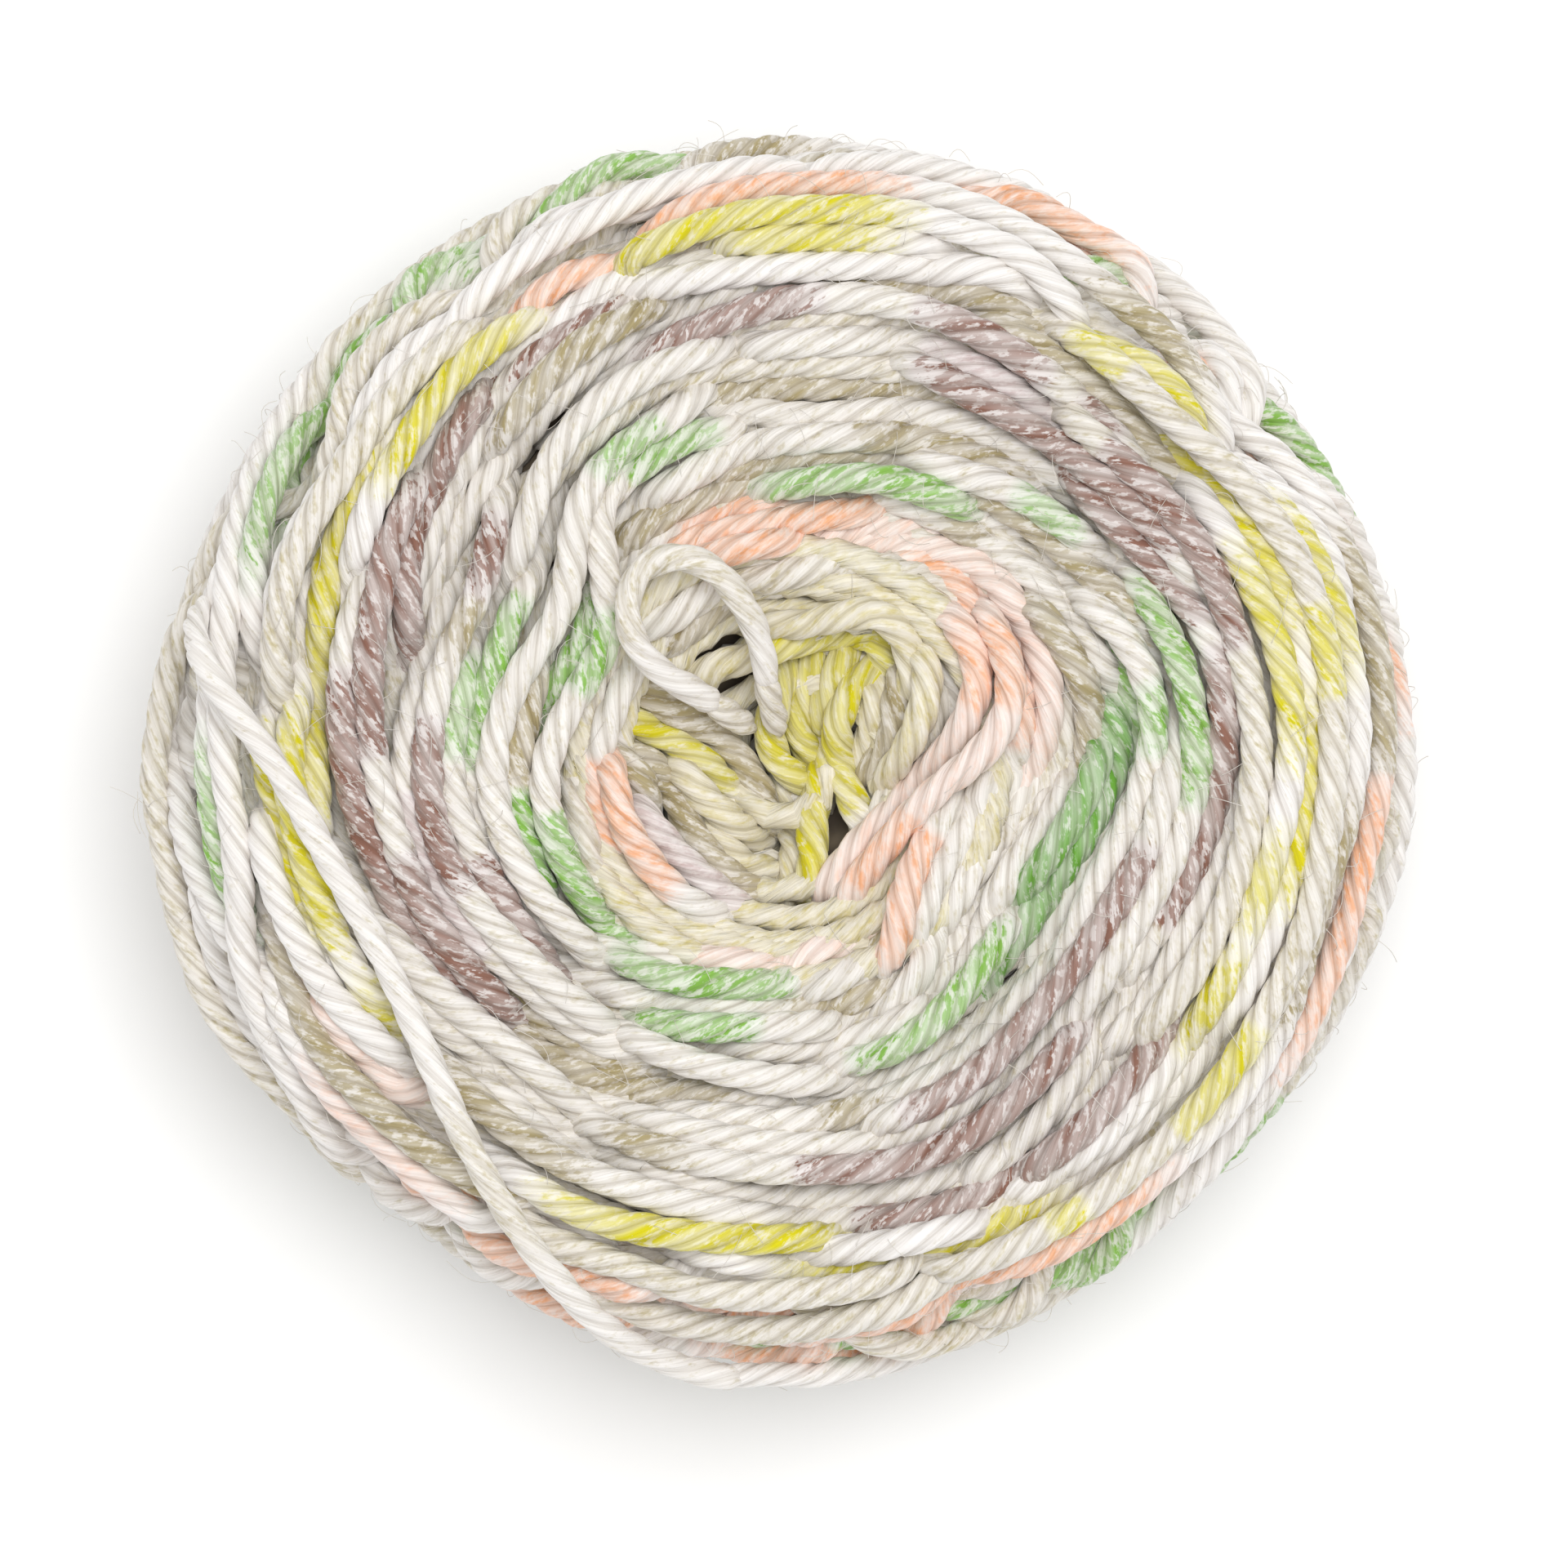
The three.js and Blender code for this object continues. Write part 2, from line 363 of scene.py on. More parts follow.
def dye_along(angles, runs, trace=OTHER_TRACE):
    """Dye colour with softness, and dose, at each angle of a strand. Even undyed yarn has a trace."""
    colour = np.tile(DYE_CODES["haze"], (len(angles), 1))
    dose = np.full(len(angles), trace)
    for name, low, high in runs:
        whole = high - low >= 360
        width = (high - low) % 360
        inside = np.mod(angles - low + 180 - width / 2, 360) - 180 + width / 2
        edge = np.minimum(inside, width - inside)
        share = np.ones(len(angles)) if whole else smoothstep(edge, -FADE_OUT, FADE_IN)
        level = DYES[name][2] * share
        stronger = level > dose
        colour[stronger] = DYE_CODES[name]
        dose = np.maximum(dose, level)
    return colour, dose


print("a run from 10 to 50 degrees, every 10 degrees from 0:",
      np.round(dye_along(np.arange(0.0, 61.0, 10.0), [("mauve", 10.0, 50.0)])[1], 2).tolist())

# %% [markdown]
# The turns of the face are laid one by one, the way a sculptor would lay cords on a form: each line below is
# one strand as it shows from above. Its points are an angle in degrees, counterclockwise from the right of
# the picture, and a distance in pixels from the middle of the winding, read off the picture. After the bar
# come the dyes and the angles over which they show, and "top" marks a strand that lies over all its
# neighbours.

# %% How a table is read

def rows(table):
    """The strands of a table. A line without a bar goes on in the next line."""
    found, row = [], ""
    for line in table.strip().splitlines():
        row += line + " "
        if "|" in line:
            found.append(row)
            row = ""
    return found


def read_polar(line):
    """One line of a table as unwrapped angles, radii in mm, its dye runs and whether it is on top."""
    points, _, notes = line.partition("|")
    pairs = np.array([point.split(":") for point in points.split()], float)
    angles = np.degrees(np.unwrap(np.radians(pairs[:, 0])))
    on_top = "top" in notes
    words = ",".join(part for part in notes.split(",") if part.strip() not in ("", "top"))
    runs = read_runs(words) if words else []
    return angles, pairs[:, 1] / PX_PER_MM, runs, on_top


print("a sample line:", read_polar("10:620 20:640 | tan 10-15, top"))

# %% Readings of the outer face
OUTER_TURNS = """
325:728 335:732 345:745 355:756 5:760 15:758 25:754 35:752 45:755 55:753 65:752 75:748 85:744 95:743
    105:742 | green 333-358 5-15, tan 30-36, peach 50-62, haze all
330:698 340:702 350:705 0:718 10:726 20:722 30:712 | peach 332-358, tan 0-22
5:742 15:740 25:730 35:724 45:730 55:738 65:738 75:742 85:735 95:722 105:712 | peach 8-48 58-82, tan 85-95
245:703 255:713 265:716 275:698 285:690 295:677 305:671 315:672 325:680 335:674 345:668 355:680 5:690
    15:690 25:677 35:652 | peach 273-310, tan 335-355, lime 12-25
288:655 298:643 308:645 318:648 328:650 338:652 348:650 2:652 12:656 22:655 32:640 42:620 52:625 58:640
    | lime 300-303 317-330 8-16 50-55, haze all
262:600 272:604 282:615 292:618 302:613 312:614 322:622 330:618 340:616 350:624 0:634 10:640 20:640 30:620
    40:602 | lime 272-300 347-5 17-42
298:588 310:590 320:592 335:590 345:592 355:602 5:612 15:606 25:598 35:592 | lime 327-335 342-349 3-23
27:692 37:682 47:690 57:692 67:708 77:711 87:702 97:694 107:678 117:655 123:640 | tan 44-56, peach 82-122
36:650 46:655 56:648 | lime 34-60
57:652 67:672 77:664 87:660 97:657 107:648 | lime 80-109
74:655 80:643 88:637 96:632 | lime 82-95
64:655 70:645 75:630 80:615 85:602 90:597 100:596 108:600 |
52:618 58:625 65:618 72:607 80:590 | tan 50-84
95:618 105:620 115:607 125:600 135:585 145:568 |
92:722 102:708 112:698 122:687 132:680 142:668 |
98:735 108:728 118:723 128:716 138:708 148:682 | haze all
100:752 110:752 120:748 130:747 140:742 150:716 160:698 170:680 | green 97-122 133-158
140:760 150:748 160:745 170:758 180:768 190:766 200:760 210:745 | haze all
126:655 136:650 146:640 156:645 166:640 174:633 | haze all
148:662 158:660 168:654 178:643 188:625 198:607 208:597 | lime 180-198
120:628 130:621 140:602 148:594 156:575 | lime 122-143
136:622 146:613 156:598 166:585 176:578 186:570 | lime 145-185
170:600 180:603 190:596 200:588 210:577 | lime 176-200 209-214
175:757 185:736 195:730 205:736 215:718 |
172:705 180:702 190:700 198:702 | green 180-196
172:690 180:681 190:672 198:692 206:706 | top
186:652 194:660 202:656 210:640 220:632 | blush all
198:682 208:670 218:648 228:638 238:628 | tan 198-238
186:645 196:632 206:618 216:598 |
205:692 215:684 225:670 235:668 | blush 215-230
242:650 252:642 262:650 272:640 282:650 | haze all
216:725 226:718 236:702 246:678 254:665 | peach 218-252
222:728 232:722 242:728 252:728 262:735 272:738 282:735 292:722 302:712 312:712 322:708 330:700
    | green 232-238 262-320, tan 240-250
250:688 260:692 270:686 280:675 290:665 | haze all
236:600 246:598 256:584 266:576 276:572 | lime 243-275
272:590 282:592 292:600 |
"""
print(len(rows(OUTER_TURNS)), "strands")

# %% Readings of the middle of the face
MIDDLE_TURNS = """
322:530 332:548 342:556 352:561 2:566 12:562 22:560 32:556 42:545 52:540 | mauve 14-45, haze all
318:512 328:518 338:521 348:532 356:540 |
326:478 336:488 346:502 356:520 6:529 16:534 26:513 36:488 46:475 | mauve 338-14 20-45
24:535 34:525 44:508 54:497 64:499 74:505 | mauve 30-70
40:560 50:560 60:565 70:569 80:568 90:556 100:536 110:519 | mauve 46-50 58-72 88-108
36:590 46:582 56:584 66:590 | tan 36-66
46:538 56:530 66:527 76:514 86:508 96:505 | lilac 50-70
60:548 70:552 80:545 90:528 100:512 | haze all
94:578 104:562 114:543 124:522 134:498 144:480 154:479 164:487 |
106:580 116:567 124:545 132:522 | tan 106-130
108:592 118:581 127:572 132:560 138:532 146:512 156:498 164:488 | mauve 112-124
128:574 138:556 148:532 156:505 164:484 | mauve 128-164
142:556 152:547 162:530 172:512 182:495 192:481 202:474 212:461 222:457 | mauve 145-178 195-222
154:552 164:552 174:541 184:527 194:511 204:498 214:476 222:466 | mauve 170-222
154:462 164:456 174:460 184:460 194:450 204:440 214:422 224:406 234:399 244:391 | lilac 185-210
138:472 144:446 150:426 158:428 168:434 178:436 188:438 198:430 208:412 218:397 228:392 236:395
    | mauve 142-150 175-200, tan 153-162
164:400 174:405 184:408 194:394 204:383 214:376 224:375 234:384 | green 164-178, mauve 198-235
146:388 156:379 166:372 176:380 186:386 196:376 206:360 216:345 | green 150-180
202:522 212:507 222:482 232:482 242:495 |
212:527 222:512 232:498 242:503 252:514 262:523 272:533 282:540 292:540 |
224:532 234:527 244:530 |
221:552 231:554 241:552 251:545 261:545 271:550 281:565 291:571 301:573 309:555 317:528
    | tan 223-243, mauve 280-305
240:490 250:492 260:490 270:490 280:496 290:502 300:493 310:480 318:470 | tan 245-255, mauve 272-316
240:465 250:460 260:456 270:460 280:461 290:463 300:454 310:440 |
205:446 215:437 225:424 235:410 245:408 | tan 205-245
224:457 234:443 244:424 254:412 264:408 274:400 284:396 294:393 302:388 | tan 225-260
248:442 258:433 268:434 278:432 288:422 298:416 308:405 318:396 328:391 | tan 275-284
284:448 292:446 302:439 312:426 322:422 332:426 342:438 350:452 0:460 | mauve 290-345
306:470 316:465 326:460 336:464 346:479 356:490 6:492 16:487 26:470 | green 355-26
294:540 302:535 312:514 322:499 332:486 |
300:578 310:568 318:558 326:550 | mauve 300-326
322:405 332:397 342:402 352:422 2:443 12:447 22:430 30:405 | green 3-11
322:386 332:385 342:388 352:403 2:420 12:414 20:404 | green 0-20
312:345 320:330 330:332 340:352 350:371 0:390 10:396 | moss 312-10
330:320 338:330 346:345 354:362 4:378 | moss 330-4
354:345 4:366 14:373 24:360 34:346 | tan 354-34
14:398 22:390 32:373 42:361 52:355 62:343 72:325 | tan 50-58
22:452 32:436 42:420 52:398 60:385 | tan 22-60, green 33-37
36:440 42:433 52:422 60:402 68:392 | green 40-48
48:448 58:434 68:414 78:400 88:388 98:374 108:362 118:350 | tan 52-78
44:466 54:467 64:458 74:438 84:414 94:415 102:428 |
62:492 72:479 82:461 92:452 102:452 112:452 | tan 62-112
68:506 78:492 88:486 98:489 108:482 118:468 128:453 136:440 | haze all
100:508 110:501 120:486 130:455 136:430 142:412 |
98:413 108:414 118:400 126:388 131:345 136:305 141:276 147:259 155:262 165:271 175:286 185:298 195:295
    205:292 215:288 225:284 235:270 243:258 | green 104-118 141-160 193-230
108:436 118:430 126:410 132:384 137:357 143:333 150:325 158:337 168:348 178:357 188:358 198:350 208:342
    218:330 | green 112-122, top
139:303 146:290 154:285 162:293 170:301 180:300 188:308 | green 139-188
160:318 170:320 180:328 190:332 200:330 208:328 | tan 160-185, green 185-208
"""
print(len(rows(MIDDLE_TURNS)), "strands")

# %% Readings of the inner face
INNER_TURNS = """
56:376 66:368 76:357 86:341 94:334 | green 56-94
74:386 84:374 94:360 104:347 | tan 74-104
98:341 108:339 118:333 128:320 | tan 98-128
342:262 350:286 358:315 6:335 14:345 22:345 | haze all
344:245 352:262 0:287 8:312 16:326 26:332 36:329 46:321 54:306 62:284 72:262 | blush all
4:290 8:298 18:311 28:311 38:306 | blush all
338:214 348:224 356:242 3:268 10:283 20:286 32:279 | peach 8-32
354:232 4:240 14:245 24:254 34:270 44:284 54:286 62:272 | peach 10-58
60:312 70:292 80:268 90:252 102:246 | blush all
70:312 80:301 90:288 100:284 110:289 120:290 | peach 70-120
88:310 98:311 108:309 118:304 128:298 | peach 92-112
356:208 6:222 16:228 26:232 36:238 46:240 56:235 | haze all
44:265 54:256 64:242 74:226 84:221 94:216 104:212 | haze all
50:236 60:234 70:214 80:200 90:194 100:192 |
88:262 98:264 108:267 116:268 | peach 88-116
88:236 98:243 108:250 |
350:188 0:200 10:207 20:213 30:219 40:222 |
6:186 16:192 26:200 36:208 46:213 56:212 64:203 76:190 | lime 60-76
112:222 120:236 128:243 134:234 | lime 112-134
112:208 122:213 134:210 |
110:190 122:192 134:186 | tan 110-134
142:236 152:237 162:240 172:235 182:240 192:250 202:262 210:263 218:257 228:243 238:231 248:218 258:204
    268:194 278:189 288:180 298:172 | haze all
146:208 156:215 166:219 176:213 186:222 196:221 208:217 | peach 180-205
192:236 200:245 208:242 218:229 228:220 238:210 250:202 | peach 190-250
172:262 182:268 192:267 204:265 | tan 172-204
240:242 250:238 260:228 270:222 280:214 290:198 300:185 310:178 | blush all
272:242 282:234 292:226 300:212 308:195 318:182 | tan 272-318
294:256 302:240 310:216 320:196 330:185 340:185 350:190 | peach 297-333
304:250 312:235 322:215 332:209 342:211 352:226 0:243 |
290:318 300:305 310:268 320:250 330:241 340:246 348:262 356:290 |
296:334 304:325 312:300 320:285 330:275 340:280 350:300 0:322 |
308:335 316:318 326:304 336:300 346:313 358:338 |
276:368 286:370 296:364 306:348 316:334 324:326 | green 285-320
262:345 272:347 282:344 292:340 302:334 |
222:312 232:305 242:296 252:278 262:269 272:266 280:258 | green 230-268
226:352 236:343 244:322 252:308 260:300 270:297 280:295 290:290 300:279 | tan 270-295
240:348 250:338 260:321 270:318 282:318 | green 240-262
274:262 284:262 294:257 |
240:388 250:382 260:379 270:383 280:380 |
190:190 200:186 210:173 220:166 230:163 240:166 |
200:201 210:197 220:188 230:182 240:178 252:182 |
176:182 186:172 196:158 | tan 176-196
298:167 310:162 322:158 334:155 346:160 358:170 | peach 315-328
"""
print(len(rows(INNER_TURNS)), "strands")

# %% Readings round the hollow, as points across and down the picture
CENTRE_TURNS = """
796,852 833,875 879,900 919,945 939,985 949,1011 | tan all
776,885 809,905 846,929 879,958 906,992 932,1015 | lime 90-200
833,938 859,972 896,1002 932,1025 | straw all
843,985 869,1028 906,1061 945,1068 | straw all
776,922 809,938 833,965 849,1002 872,1045 906,1081 932,1101 | tan all
776,985 809,1021 849,1061 886,1094 916,1114 | lilac all
743,932 753,972 766,1011 800,1061 839,1098 886,1121 | peach 178-225
962,958 965,998 969,1038 962,1081 952,1101 | straw all
1008,925 999,965 995,1011 999,1055 995,1084 | lime all
1071,826 1038,852 1022,885 1022,922 1035,958 1056,992 1074,1020 | lime 330-90
965,826 952,866 945,899 959,932 982,948 | lime all
999,812 985,852 982,892 995,925 | lime all
1032,799 1015,839 1005,879 | lime all
862,830 880,816 908,810 952,796 992,786 1032,783 1065,786 1085,812 | lime 40-103, straw all
939,766 985,766 1032,756 1071,753 1105,779 1115,812 1108,852 | straw all
1081,846 1075,885 1065,915 1058,938 | straw all
1111,826 1105,866 1095,905 1065,948 | tan all
1150,845 1144,888 1126,930 1100,966 1078,1004 | haze all
1012,1088 1050,1032 1086,986 1126,942 1162,908 1186,868 1194,826 1184,788 1164,754
    | peach 16-40, blush all
1034,1098 1074,1048 1112,1002 1152,962 1190,932 1222,892 1234,846 1224,800 1200,760
    | peach 300-340 12-36, blush all
1130,800 1134,840 1126,880 1108,920 1082,958 | straw all
"""
VALLEY = [(879, 852), (905, 905), (945, 1008), (938, 1060), (925, 1101)]

print(len(rows(CENTRE_TURNS)), "strands")

# %% [markdown]
# A strand goes on below its neighbours where it stops showing. So each route runs on a little past
# its last reading while it sinks, and nothing shows a cut end. Strands that leave the face at the
# rim go on down the side instead. A strand's order says what lies over what.

# %% Ends that sink
YARN_STEP = 0.75
RUN_ON = 9.0
SINK_FROM = 1.15
SINK_TO = 0.35


def extend(plan, distance):
    """The route with a straight stretch added at both ends."""
    head = plan[0] - plan[1]
    tail = plan[-1] - plan[-2]
    first = plan[0] + head / np.linalg.norm(head) * distance
    last = plan[-1] + tail / np.linalg.norm(tail) * distance
    return np.vstack([first, plan, last])


def sunken(count, at_start=True, run_on=RUN_ON):
    """1 at an end that sinks, falling to 0 once the strand shows."""
    distance = np.arange(count) * YARN_STEP
    share = 1 - smoothstep(distance[::-1], run_on * SINK_TO, run_on * SINK_FROM)
    if at_start:
        share = np.maximum(share, 1 - smoothstep(distance, run_on * SINK_TO, run_on * SINK_FROM))
    return share


def smoothed(values, passes):
    """Values averaged with their neighbours, the ends kept."""
    values = np.array(values, float)
    for _ in range(passes):
        values[1:-1] = 0.25 * values[:-2] + 0.5 * values[1:-1] + 0.25 * values[2:]
    return values


print(f"an end sinks over the last {RUN_ON * SINK_FROM:.1f} mm of a strand")

# %% Strands that leave the face over the rim
RIM_RADIUS = 44.4
RIM_SWEEP = 92.0
RIM_CURVE = 1.25
TUCK_SWEEP = 24.0
TUCK_DROP = 12.0
TUCK_CURVE = 1.6
SIDE_POINTS = 24


def down_the_side(angle, along, direction):
    """Angles and bed places that carry a strand from the rim down over the side."""
    share = np.linspace(0, 1, SIDE_POINTS)[1:]
    if direction < 0:
        angles = angle - RIM_SWEEP * share
        places = along + (SIDE_LOW - along) * share**RIM_CURVE
    else:
        angles = angle + TUCK_SWEEP * share
        places = along - TUCK_DROP * share**TUCK_CURVE
    return angles, places


print("from the rim a strand goes back", RIM_SWEEP, "or on", TUCK_SWEEP, "degrees")

# %% From places on the bed to a strand
SINK = 2.8
SIDE_SINK = 1.6
SIDE_SLOPE = (0.45, 0.8)
SINK_ORDER = 4.0
EVENING = 12


def make_strand(group, angle, along, runs, order, proud=None, at_start=True):
    """A strand through places on the bed, spaced evenly, with its dyes and its order.

    Proud is how far it stands out from the bed, level with the ground.
    """
    middle, _ = on_bed(angle, along)
    proud = np.zeros(len(angle)) if proud is None else proud
    carried = evenly(middle, YARN_STEP, np.column_stack([angle, along, proud]))
    angle, along, proud = carried.T
    middle, out = on_bed(angle, smoothed(along, EVENING))
    turn = np.radians(angle)
    outwards = np.column_stack([np.cos(turn), np.sin(turn), np.zeros(len(angle))])
    middle = middle + outwards * smoothed(proud, EVENING)[:, None]
    colour, dose = dye_along(angle, runs, TRACE.get(group, OTHER_TRACE))
    under = sunken(len(angle), at_start=at_start)
    # An end on the side goes deeper, because little lies over it there.
    on_side = 1 - smoothstep(np.abs(out[:, 2]), *SIDE_SLOPE)
    depth = (SINK + SIDE_SINK * on_side) * under
    return {
        "group": group, "middle": middle - out * depth[:, None], "out": out,
        "order": order - SINK_ORDER * under, "colour": colour, "dose": dose,
    }


print("an end sinks", SINK, "mm on the face and", SINK + SIDE_SINK, "mm on the side")

# %% Strands of the face
MOST_PROUD = 2.6
ON_TOP_ORDER = 3.0


def face_strand(line, group):
    """A strand of the face from one line of a table."""
    angles, radii, runs, on_top = read_polar(line)
    turn = np.radians(angles)
    plan = np.column_stack([radii * np.cos(turn), radii * np.sin(turn)])
    to_side = [radii[0] > RIM_RADIUS, radii[-1] > RIM_RADIUS]
    longer = extend(plan, RUN_ON)
    plan = longer[int(to_side[0]) : len(longer) - int(to_side[1])]
    plan = smooth_route(plan)
    angle = np.degrees(np.unwrap(np.arctan2(plan[:, 1], plan[:, 0])))
    radius = np.linalg.norm(plan, axis=1)
    along = along_of(angle, radius)
    carried_at = np.linalg.norm(on_bed(angle, along)[0][:, :2] - WINDING_CENTRE, axis=1)
    proud = np.clip(radius - carried_at, 0.0, MOST_PROUD)
    if to_side[0]:
        more_angle, more_along = down_the_side(angle[0], along[0], -1)
        angle = np.concatenate([more_angle[::-1], angle])
        along = np.concatenate([more_along[::-1], along])
        proud = np.concatenate([np.zeros(len(more_angle)), proud])
    if to_side[1]:
        more_angle, more_along = down_the_side(angle[-1], along[-1], 1)
        angle = np.concatenate([angle, more_angle])
        along = np.concatenate([along, more_along])
        proud = np.concatenate([proud, np.zeros(len(more_angle))])
    order = ON_TOP_ORDER if on_top else chance.uniform(0, 1)
    return make_strand(group, angle, along, runs, order, proud=proud)


strands = []
TABLES = {"outer": OUTER_TURNS, "middle": MIDDLE_TURNS, "inner": INNER_TURNS}
for group, table in TABLES.items():
    for line in rows(table):
        strands.append(face_strand(line, group))
print(len(strands), "strands with", sum(len(s["middle"]) for s in strands), "points")

# %% [markdown]
# Round the hollow the strands fall in from both sides towards a valley, where they meet. They are
# read as points of the picture. The farther a strand lies from the valley, the later it was wound,
# so the higher it lies.

# %% Strands round the hollow
VALLEY_DEPTH = 2.4
VALLEY_WIDTH = 2.6
CENTRE_RUN_ON = 3.2
ORDER_PER_MM = 0.12
CENTRE_CHANCE = 0.5

valley = smooth_route(from_picture(*np.array(VALLEY).T))


def centre_strand(line):
    """A strand of the hollow from one line of its table."""
    points, _, notes = line.partition("|")
    pixels = np.array([point.split(",") for point in points.split()], float)
    plan = smooth_route(extend(from_picture(*pixels.T), CENTRE_RUN_ON))
    plan = evenly(plan, YARN_STEP) - WINDING_CENTRE
    angle = np.degrees(np.unwrap(np.arctan2(plan[:, 1], plan[:, 0])))
    place = plan + WINDING_CENTRE
    gap = np.linalg.norm(place[:, None] - valley[None], axis=2).min(axis=1)
    dip = VALLEY_DEPTH * np.exp(-np.square(gap / VALLEY_WIDTH))
    under = sunken(len(plan), run_on=CENTRE_RUN_ON)
    height = face_height(hollow_distance(*plan.T)) - YARN / 2 - dip - SINK * under
    words = notes.strip()
    colour, dose = dye_along(angle, read_runs(words) if words else [])
    order = ORDER_PER_MM * gap.mean() + CENTRE_CHANCE * chance.uniform()
    return {
        "group": "inner", "middle": np.column_stack([place, height]), "colour": colour, "dose": dose,
        "out": np.tile(UP, (len(plan), 1)), "order": order - SINK_ORDER * under,
    }


for line in rows(CENTRE_TURNS):
    strands.append(centre_strand(line))
print(len(strands), "strands so far")

# %% [markdown]
# The loose outer end comes up out of the side and goes back in under the rim, and the loop's legs
# go down between the turns of the hollow. The free stretches are pieces of their own, so short
# tails carry the yarn on from their ends: each starts inside the free yarn and sinks out of sight.

# %% Tails that carry the free yarn on
WOUND_YARN = 2.6
LOOSE_YARN = 2.25
TAIL_OVERLAP = 8
TAIL_POINTS = 40
TAIL_ORDER = 5.0
TAIL_FADE = 24.0
HELD_UNTIL = (3.0, 9.0)
THIN_UNTIL = (4.0, 30.0)
JOIN_SWEEPS = (0, 40, 85)
JOIN_DROP = 17


def free_strand(group, middle, out, order=0.0, runs=()):
    """A strand as thin as free yarn, which the settling leaves where it is."""
    colour, dose = dye_along(np.zeros(len(middle)), runs)
    return {
        "group": group, "middle": middle, "out": np.tile(out, (len(middle), 1)),
        "order": np.zeros(len(middle)) + order, "colour": colour, "dose": dose,
        "held": np.ones(len(middle)), "girth": np.full(len(middle), LOOSE_YARN / WOUND_YARN),
    }


def tail_on_bed(route, start, angles, places):
    """A strand that carries a free route on, from a point of it, and settles onto the bed."""
    share = np.linspace(0, 1, TAIL_POINTS)
    angle = np.interp(share, np.linspace(0, 1, len(angles)), angles)
    along = np.interp(share, np.linspace(0, 1, len(places)), places)
    strand = make_strand("outer", angle, along, [], TAIL_ORDER, at_start=False)
    travelled = np.arange(len(strand["middle"])) * YARN_STEP
    near = 1 - smoothstep(travelled, 0, TAIL_FADE)
    gap = route[start] - strand["middle"][0]
    strand["middle"] = strand["middle"] + gap * near[:, None]
    strand["held"] = 1 - smoothstep(travelled, *HELD_UNTIL)
    strand["girth"] = 1 - (1 - LOOSE_YARN / WOUND_YARN) * (1 - smoothstep(travelled, *THIN_UNTIL))
    return strand


join_angle, _, join_height = OUTER_END[-1]
join_place = float(np.interp(join_height - YARN / 2, bed[widest:, 1], bed_along[widest:]))
join_places = [join_place, join_place - JOIN_DROP, SIDE_LOW]
join_angles = [join_angle + sweep for sweep in JOIN_SWEEPS]
strands.append(tail_on_bed(outer_end_route, TAIL_OVERLAP, join_angles, join_places))
print(f"the outer end goes on for {len(strands[-1]['middle']) * YARN_STEP:.0f} mm down the side")

# %% Tails at the tuck and below the loop
TUCK_TAIL = [
    (171, 45.6, 46.7), (168, 47.2, 44.4), (166.3, 47.5, 41.8), (164.8, 47.0, 38.8),
    (163.2, 46.2, 35.6), (161.5, 45.4, 32.4),
]
TUCK_OUT = (-0.9, 0.2, 0.4)
TUCK_HEIGHTS = (38.0, 43.5)
TUCK_SINK = 3 * SINK_ORDER
LOOP_TAILS = [
    [(-1.9, 7.0, 43.3), (-1.6, 5.0, 41.7), (-1.1, 3.0, 39.6), (-0.6, 1.4, 37.4)],
    [(-6.9, 4.6, 43.5), (-5.4, 3.6, 41.9), (-3.9, 2.6, 39.8), (-2.6, 1.8, 37.6)],
]

tuck = evenly(smooth_route(round_the_cake(TUCK_TAIL)), YARN_STEP)
tuck_order = TAIL_ORDER - TUCK_SINK * (1 - smoothstep(tuck[:, 2], *TUCK_HEIGHTS))
strands.append(free_strand("outer", tuck, TUCK_OUT, tuck_order))
loop_tails = []
for points in LOOP_TAILS:
    tail = evenly(smooth_route(points), YARN_STEP)
    loop_tails.append(free_strand("inner", tail, UP, runs=[("haze", *ALL_ROUND)]))
print("tails of", [round(length_along(tail["middle"])[-1]) for tail in loop_tails], "mm at the loop")

# %% [markdown]
# Round the side the yarn climbs in long slanting wraps, because a winder turns the cake while the
# yarn goes over its rims. Most of them lean one way, and here and there a few cross over them. The
# base is wound as the face is, in plain turns. Nobody reads these strands one by one, so loops lay
# them out, with a little unevenness from seeded random numbers.

# %% Dyes of the side
SIDE_DYES = [
    ("green", 330, 30), ("peach", 20, 75), ("tan", 60, 110), ("green", 95, 160), ("haze", 150, 175),
    ("tan", 170, 225), ("peach", 215, 262), ("green", 240, 325), ("tan", 300, 345),
]
DYED_SHARE = 0.7
HAZE_SHARE = 0.4
RUN_SHIFT = 30
RUN_ANGLE = (8, 26)


def side_runs(angle):
    """Dye runs for a wrap that passes this angle, from the dyes that show along the rim."""
    runs = []
    for name, low, high in SIDE_DYES:
        near = (angle - low) % 360 < (high - low) % 360
        if near and chance.uniform() < DYED_SHARE:
            start = angle + chance.uniform(-RUN_SHIFT, RUN_SHIFT)
            runs.append((name, start, start + chance.uniform(*RUN_ANGLE)))
    if chance.uniform() < HAZE_SHARE:
        runs.append(("haze", *ALL_ROUND))
    return runs


print(len(SIDE_DYES), "stretches of dye go round the side")

# %% Wraps of the side
WRAP_LEAN = math.radians(34)
WRAP_PITCH = 2.45
WRAP_POINTS = 60
WRAP_WANDER = 0.35
WANDER_TURNS = (1, 2)
WANDER_START = (0, 6)
START_SHAKE = 0.35
NEXT_WRAP_ORDER = 0.5
ORDER_SHAKE = 0.3
HALF_WRAP = 45
CROSSING_WRAPS = 3
CROSSING_ORDER = 2.5
CROSSING_SHAKE = 12
UNDER_RIM = (34.0, 39.5)
UNDER_RIM_DEPTH = 1.2
WAIST = bed[widest, 0]


